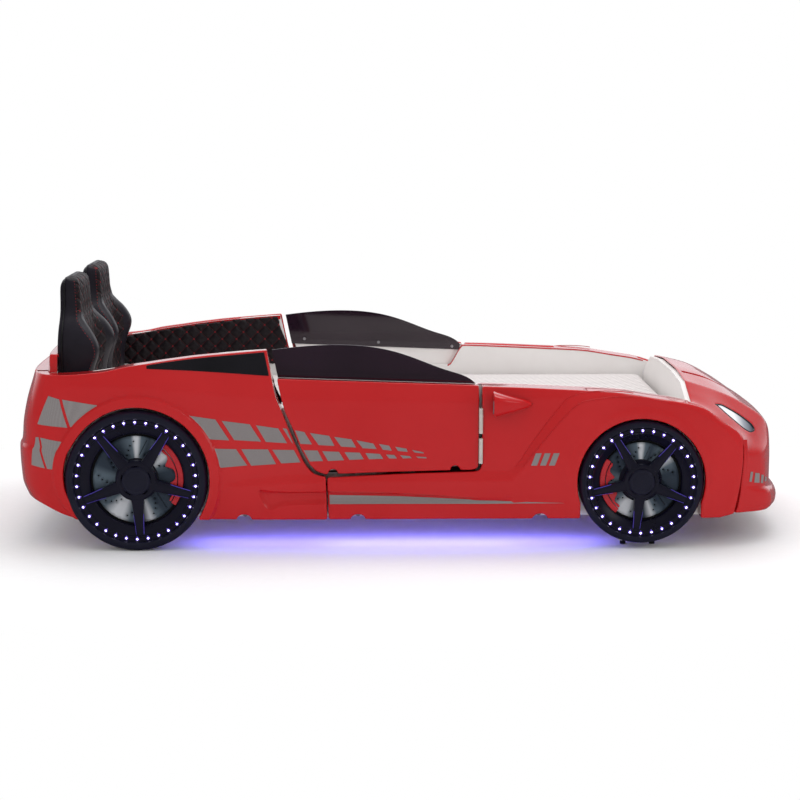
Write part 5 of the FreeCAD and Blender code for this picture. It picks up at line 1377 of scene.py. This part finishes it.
def puff(obj, voxel, pressure, cap, frames=20):
    """Fills a padded cover: cloth under inner pressure, held within a cap, with its result kept."""
    scene = bpy.context.scene

    def shown():
        return bpy.data.meshes.new_from_object(copy.evaluated_get(bpy.context.evaluated_depsgraph_get()))

    copy = obj.copy()
    copy.data = obj.data.copy()
    copy.name = obj.name + "_swelling"
    scene.collection.objects.link(copy)
    remesh = copy.modifiers.new("Even", "REMESH")
    remesh.mode = "VOXEL"
    remesh.voxel_size = voxel * MM
    even = shown()
    copy.modifiers.clear()
    copy.data = even
    start = np.array([v.co for v in even.vertices])
    cloth = copy.modifiers.new("Cloth", "CLOTH")
    settings = cloth.settings
    settings.use_pressure = True
    settings.uniform_pressure_force = pressure
    settings.effector_weights.gravity = 0
    settings.quality = 4
    settings.tension_stiffness = 20
    settings.bending_stiffness = 2
    cloth.point_cache.frame_start = 1
    cloth.point_cache.frame_end = frames
    for number in range(1, frames + 1):
        scene.frame_set(number)
    swollen = shown()
    end = np.array([v.co for v in swollen.vertices])
    scene.frame_set(1)
    move = (end - start) / MM
    length = np.linalg.norm(move, axis=1)
    most = cap(start / MM)
    share = most * (1 - np.exp(-length / np.maximum(most, 1e-6))) / np.maximum(length, 1e-6)
    for v, p in zip(swollen.vertices, start + move * share[:, None] * MM):
        v.co = p
    materials = [slot.material for slot in obj.material_slots]
    obj.data = swollen
    bpy.data.objects.remove(copy)
    swollen.materials.clear()
    for material in materials:
        swollen.materials.append(material)
    for face in swollen.polygons:
        face.use_smooth = True
    even_out = obj.modifiers.new("Even", "SMOOTH")
    even_out.factor = 0.5
    even_out.iterations = 3
    fine = obj.modifiers.new("Fine", "SUBSURF")
    fine.levels = fine.render_levels = 1


def seat_cap(p):
    """A seat swells in front, and stays flat on its back."""
    return 5.0 * smooth(-1044, -1015, p[:, 0]) + 0.4


def on_surface(obj, points, up):
    """Points moved on to a piece's surface and a little above it."""
    shown = obj.evaluated_get(bpy.context.evaluated_depsgraph_get())
    out = []
    for p in points:
        found, place, normal, _ = shown.closest_point_on_mesh(Vector(p) * MM)
        out.append(tuple((place + normal * up * MM) / MM) if found else p)
    return out


def seat_shape(side, sign):
    """A bucket backrest's pad, swollen under its cover, with the quilted leatherette on its insert."""
    heights = list(np.linspace(415.5, 785, 60)) + [791, 797, 802, 806, 810, 813, 815.5, 817.5, 819, 819.8]
    rows = []
    for z in heights:
        half = seat_section(z)
        rows.append([(x, SEAT_Y + y, z) for y, x in half] + [(x, SEAT_Y - y, z) for y, x in half[-2:0:-1]])
    n = len(rows[0])
    verts, faces = [p for row in rows for p in row], quads(len(rows), n, True)
    for level, lift, way in ((0, 0.0, -1), (len(rows) - 1, 0.6, 1)):
        centre = len(verts)
        verts.append(tuple(np.mean(rows[level], axis=0) + np.array([0, 0, lift])))
        for k in range(n):
            faces.append((*(level * n + k, level * n + (k + 1) % n)[::way], centre))
    obj = finish_mesh(f"seat_pad_{side}", verts, faces, LEATHER, "bed", sign, 80, "leatherette",
                      (f"seat_cushion_{side}",))
    puff(obj, 5.0, 3.0, seat_cap)
    obj.data.materials.append(SEAT_QUILT)
    for face in obj.data.polygons:
        _, y, z = face.center / MM
        off, w = abs(abs(y) - SEAT_Y), float(seat_width(z))
        if face.normal[0] > 0.15 and (off < w * 0.62 or z > 706 and off < w * 0.97):
            face.material_index = 1
    return obj


def tube_along(points, radius, segments=8):
    """A round tube along a line of points, with closed ends."""
    pts = np.array(points, float)
    last = len(pts) - 1
    verts = []
    for i, p in enumerate(pts):
        t = unit(pts[min(i + 1, last)] - pts[max(i - 1, 0)])
        a = unit(np.cross(t, [0, 1, 0] if abs(t[1]) < 0.8 else [1, 0, 0]))
        b = np.cross(t, a)
        for k in range(segments):
            angle = 2 * math.pi * k / segments
            verts.append(tuple(p + radius * (math.cos(angle) * a + math.sin(angle) * b)))
    faces = quads(len(pts), segments, True)
    faces.append(tuple(range(segments))[::-1])
    faces.append(tuple(last * segments + k for k in range(segments)))
    return verts, faces


def lowered(z, top):
    """A height on the seat's outline, brought down with it to a lower top."""
    return SEAT_FOOT + (z - SEAT_FOOT) * (top - SEAT_FOOT) / (SEAT_TOP - SEAT_FOOT)


def seat_trim(side, sign, pad):
    """Upholstered back shell, piping round it, and red stitches along each side panel's front seam."""
    rows = []
    heights = list(np.linspace(SEAT_FOOT, 803, 50)) + [808, 812, 815, 818, 819.8]
    for x, inset, top in ((-1044.0, 3.0, 811.0), (-1047.6, 0.6, 810.0), (-1050.6, 0.6, 808.5),
                          (-1056.0, 1.0, 804.0), (-1059.4, 4.0, 797.0), (-1060.2, 9.0, 788.0)):
        ring = [(x, SEAT_Y + float(seat_width(z)) - inset, lowered(z, top)) for z in heights]
        rows.append(ring + [(xx, 2 * SEAT_Y - y, z) for xx, y, z in ring[::-1]])
    rows.append([(-1060.2, SEAT_Y, z) for _, _, z in rows[-1]])
    shell = strip(f"seat_back_shell_{side}", rows, LEATHER, sign, "leatherette", 50)
    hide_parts(f"seat_back_board_{side}")
    pipe = [(-1046.5, float(seat_width(z)) + 0.4, lowered(z, 811.0)) for z in heights[1:]]
    path = [(x, SEAT_Y + y, z) for x, y, z in pipe] + [(x, SEAT_Y - y, z) for x, y, z in pipe[::-1]]
    finish_mesh(f"seat_piping_{side}", *tube_along(path, 2.0), GLIDE, "bed", sign, 60, "leatherette")
    parts = []
    for way in (-1, 1):
        seam = [(float(seat_side(z)), sign * (SEAT_Y + way * (float(seat_width(z)) + 0.3)), z)
                for z in np.arange(424, 812, 1.0)]
        seam = np.array([(x, y * sign, z) for x, y, z in on_surface(pad, seam, 0.3)])
        parts += [tube_along(seam[i:i + 6:2], 0.75, 6) for i in range(0, len(seam) - 6, 9)]
    finish_mesh(f"seat_stitches_{side}", *merged(parts), THREAD, "bed", sign, 60, "leatherette")


for side, sign in SIDES:
    seat_trim(side, sign, seat_shape(side, sign))

for side, sign in SIDES:
    for name, line in (("outer", CREST_A), ("inner", CREST_B)):
        part = line[(line[:, 0] > 330) & (line[:, 1] > 252) & (line[:, 0] < 690)]
        finish_mesh(f"crest_bead_{name}_{side}", *tube_along(lifted(skin_point, 0.2)(part[:, 0], part[:, 1]), 1.3),
                    RED, "bed", sign, 60, "body_red")

LINING = loop([(-1038, 437), (-369, 437)], [(-369, 437), (-399, 510), (-431, 603)],
              [(-431, 603), (-617, 588), (-720, 575), (-836, 558), (-951, 539), (-1038, 530)],
              [(-1038, 530), (-1038, 437)])


def lining_point(x, z):
    """The quilted face towards the bed: puffed diamonds that draw in at their seams."""
    a, b = x / LINING_PITCH, z / LINING_PITCH
    off = np.minimum(np.abs((a + b) - np.round(a + b)), np.abs((a - b) - np.round(a - b)))
    return np.c_[x, 452.0 - 5.5 * np.clip(off / 0.42, 0, 1) ** 0.6, z]


def facing_in(u, v):
    """The same face drawn mirrored in x, because a panel's good face looks outwards."""
    return lining_point(-u, v)


for side, sign in SIDES:
    obj = panel(f"lining_pad_{side}", flipped(LINING), facing_in, LINING_QUILT, grid=6.0, round_edge=5.0,
                plane=BOARD_IN + 0.5, wall=0, sign=sign, slot="leatherette", replaces=(f"side_lining_{side}",))


def rounded_pad(low, high, edge, crown, nx, ny):
    """A mattress: flat under, softly crowned above, with full edges."""
    (x0, y0, z0), (x1, y1, z1) = low, high
    half_x, half_y = (x1 - x0) / 2, (y1 - y0) / 2

    def spot(i, n, half):
        """Place of a row on the pad from its middle; rows stand closer near the ends."""
        t = -1 + 2 * i / n
        return math.copysign(abs(math.sin(t * math.pi / 2)) ** 0.9, t) * half

    def at(top, i, j):
        return (top * (nx + 1) + i) * (ny + 1) + j

    verts, faces = [], []
    for top in (0, 1):
        for i in range(nx + 1):
            for j in range(ny + 1):
                x, y = spot(i, nx, half_x), spot(j, ny, half_y)
                border = min(half_x - abs(x), half_y - abs(y))
                drop = edge * (1 - math.sqrt(max(0.0, 1 - (1 - min(border / edge, 1)) ** 2)))
                height = z1 - drop + crown * (smooth(0, 160, border) - 1) if top else z0 + drop
                verts.append(((x0 + x1) / 2 + x, (y0 + y1) / 2 + y, height))
    for i in range(nx):
        for j in range(ny):
            faces.append((at(1, i, j), at(1, i + 1, j), at(1, i + 1, j + 1), at(1, i, j + 1)))
            faces.append((at(0, i, j), at(0, i, j + 1), at(0, i + 1, j + 1), at(0, i + 1, j)))
    border = ([(i, 0) for i in range(nx)] + [(nx, j) for j in range(ny)] + [(i, ny) for i in range(nx, 0, -1)]
              + [(0, j) for j in range(ny, 0, -1)])
    for a, b in zip(border, border[1:] + border[:1]):
        faces.append((at(0, *a), at(0, *b), at(1, *b), at(1, *a)))
    return verts, faces


def mattress_cap(p):
    """A mattress swells alike on all sides."""
    return 2.5


mattress = finish_mesh("mattress_cover", *rounded_pad((-1033, -447, 300), (861.5, 447, 405.5), 26, 5, 96, 48),
                       KNIT, "bed", 1, 60, "mattress_cover", ("mattress",))
puff(mattress, 12.0, 2.0, mattress_cap)


# ---------------------------------------------------------------- finish of what the CAD brings

CARRIED = {
    WHITE: ["side_board_right", "side_board_left", "bulkhead", "tail_board", "nose_board",
            "door_board_right", "door_board_left", "hinge_posts"],
    PLY: ["slat_rails", "slats"],
    STEEL: ["sill_bolts", "window_screws_right", "window_screws_left"],
    HINGE: ["door_hinge_leaves_right", "door_hinge_leaves_left", "frame_hinge_leaves"],
    GLIDE: ["glides", "door_catches", "light_controller"],
    MIRROR: ["mirror_glasses"],
    SMOKE: ["door_window_right", "door_window_left"],
    UNDER_GLOW: ["under_light_strips"],
}
for material, names in CARRIED.items():
    for name in names:
        paint(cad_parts[name], material)


# ---------------------------------------------------------------- stage, light and camera

def stage_material():
    """White floor that keeps its shadow near the object and fades to plain white away from it."""
    m = Nodes("stage_white")
    m.drift(m.noise(40.0, 2), "Fac", (0.95, 0.95, 0.96), (0.97, 0.97, 0.98))
    m.set(Roughness=0.8)
    size = m.add("ShaderNodeVectorMath", operation="LENGTH")
    m.link(m.coords((1 / 2.3, 1 / 1.6, 1.0)), "Vector", size, 0)
    far = m.mapped((size, "Value"), 0.62, 1.0, kind="SMOOTHSTEP")
    path = m.add("ShaderNodeLightPath")
    dull = m.add("ShaderNodeBsdfDiffuse", Color=(0.16, 0.16, 0.17, 1))
    shown = m.mixed((path, "Is Glossy Ray"), (m.shader, "BSDF"), (dull, "BSDF"))
    white = m.add("ShaderNodeEmission", Color=(1, 1, 1, 1))
    seen = m.math("MULTIPLY", (path, "Is Camera Ray"), far)
    m.link(*m.mixed(seen, shown, (white, "Emission")), m.output, "Surface")
    return m.owner


def studio():
    """A white world that mirrors itself in the finishes only from one side."""
    w = Nodes("studio", bpy.data.worlds.new("studio"))
    bpy.context.scene.world = w.owner
    background = w.tree.nodes["Background"]
    background.inputs["Color"].default_value = (1, 1, 1, 1)
    background.inputs["Strength"].default_value = 0.95
    white = w.add("ShaderNodeBackground", Color=(1, 1, 1, 1), Strength=1.0)
    dim = w.add("ShaderNodeBackground", Color=(0.95, 0.96, 1.0, 1))
    axes = w.add("ShaderNodeSeparateXYZ")
    w.link(w.add("ShaderNodeTexCoord"), "Generated", axes, 0)
    w.link(*w.mapped((axes, "Y"), 0.32, 0.95, 0.11, 1.0, "SMOOTHSTEP"), dim, "Strength")
    path = w.add("ShaderNodeLightPath")
    shine = w.mixed((path, "Is Glossy Ray"), (background, "Background"), (dim, "Background"))
    seen = w.mixed((path, "Is Camera Ray"), shine, (white, "Background"))
    w.link(*seen, w.tree.nodes["World Output"], "Surface")


floor_mesh = bpy.data.meshes.new("floor")
floor_mesh.from_pydata([(-30, -30, 0), (30, -30, 0), (30, 30, 0), (-30, 30, 0)], [], [(0, 1, 2, 3)])
floor = bpy.data.objects.new("floor", floor_mesh)
bpy.context.scene.collection.objects.link(floor)
floor_mesh.materials.append(stage_material())

studio()


def lamp(name, place, aim, size, power, colour=(1, 1, 1)):
    """A flat light that looks at a point."""
    data = bpy.data.lights.new(name, "AREA")
    data.shape = "RECTANGLE"
    data.size, data.size_y = size
    data.energy = power
    data.color = colour
    obj = bpy.data.objects.new(name, data)
    bpy.context.scene.collection.objects.link(obj)
    obj.location = place
    obj.rotation_mode = "QUATERNION"
    obj.rotation_quaternion = (Vector(aim) - Vector(place)).to_track_quat("-Z", "Y")


lamp("overhead", (0.2, 0.3, 3.0), (0.1, 0, 0), (4.2, 1.4), 42)
lamp("front_end", (3.4, -1.6, 1.9), (0.8, 0, 0.3), (1.6, 1.2), 5)
for side, sign in SIDES:
    lamp(f"under_glow_{side}", (-0.02, sign * 0.43, 0.088), (-0.02, sign * 0.43, 0), (1.25, 0.03), 1.15,
         (0.20, 0.17, 1.0))
lamp("under_glow_core", (0.06, -0.45, 0.088), (0.06, -0.47, 0), (0.6, 0.02), 0.2, (0.35, 0.38, 1.0))

camera_data = bpy.data.cameras.new("camera")
camera_data.lens = 82.35
camera_data.sensor_width = 36
camera = bpy.data.objects.new("camera", camera_data)
bpy.context.scene.collection.objects.link(camera)
camera.location = (-0.115, -5.979, 1.328)
camera.rotation_euler = (math.radians(90 - 9.04), 0, math.radians(-1.05))
bpy.context.scene.camera = camera
bpy.context.scene.view_settings.view_transform = "Standard"
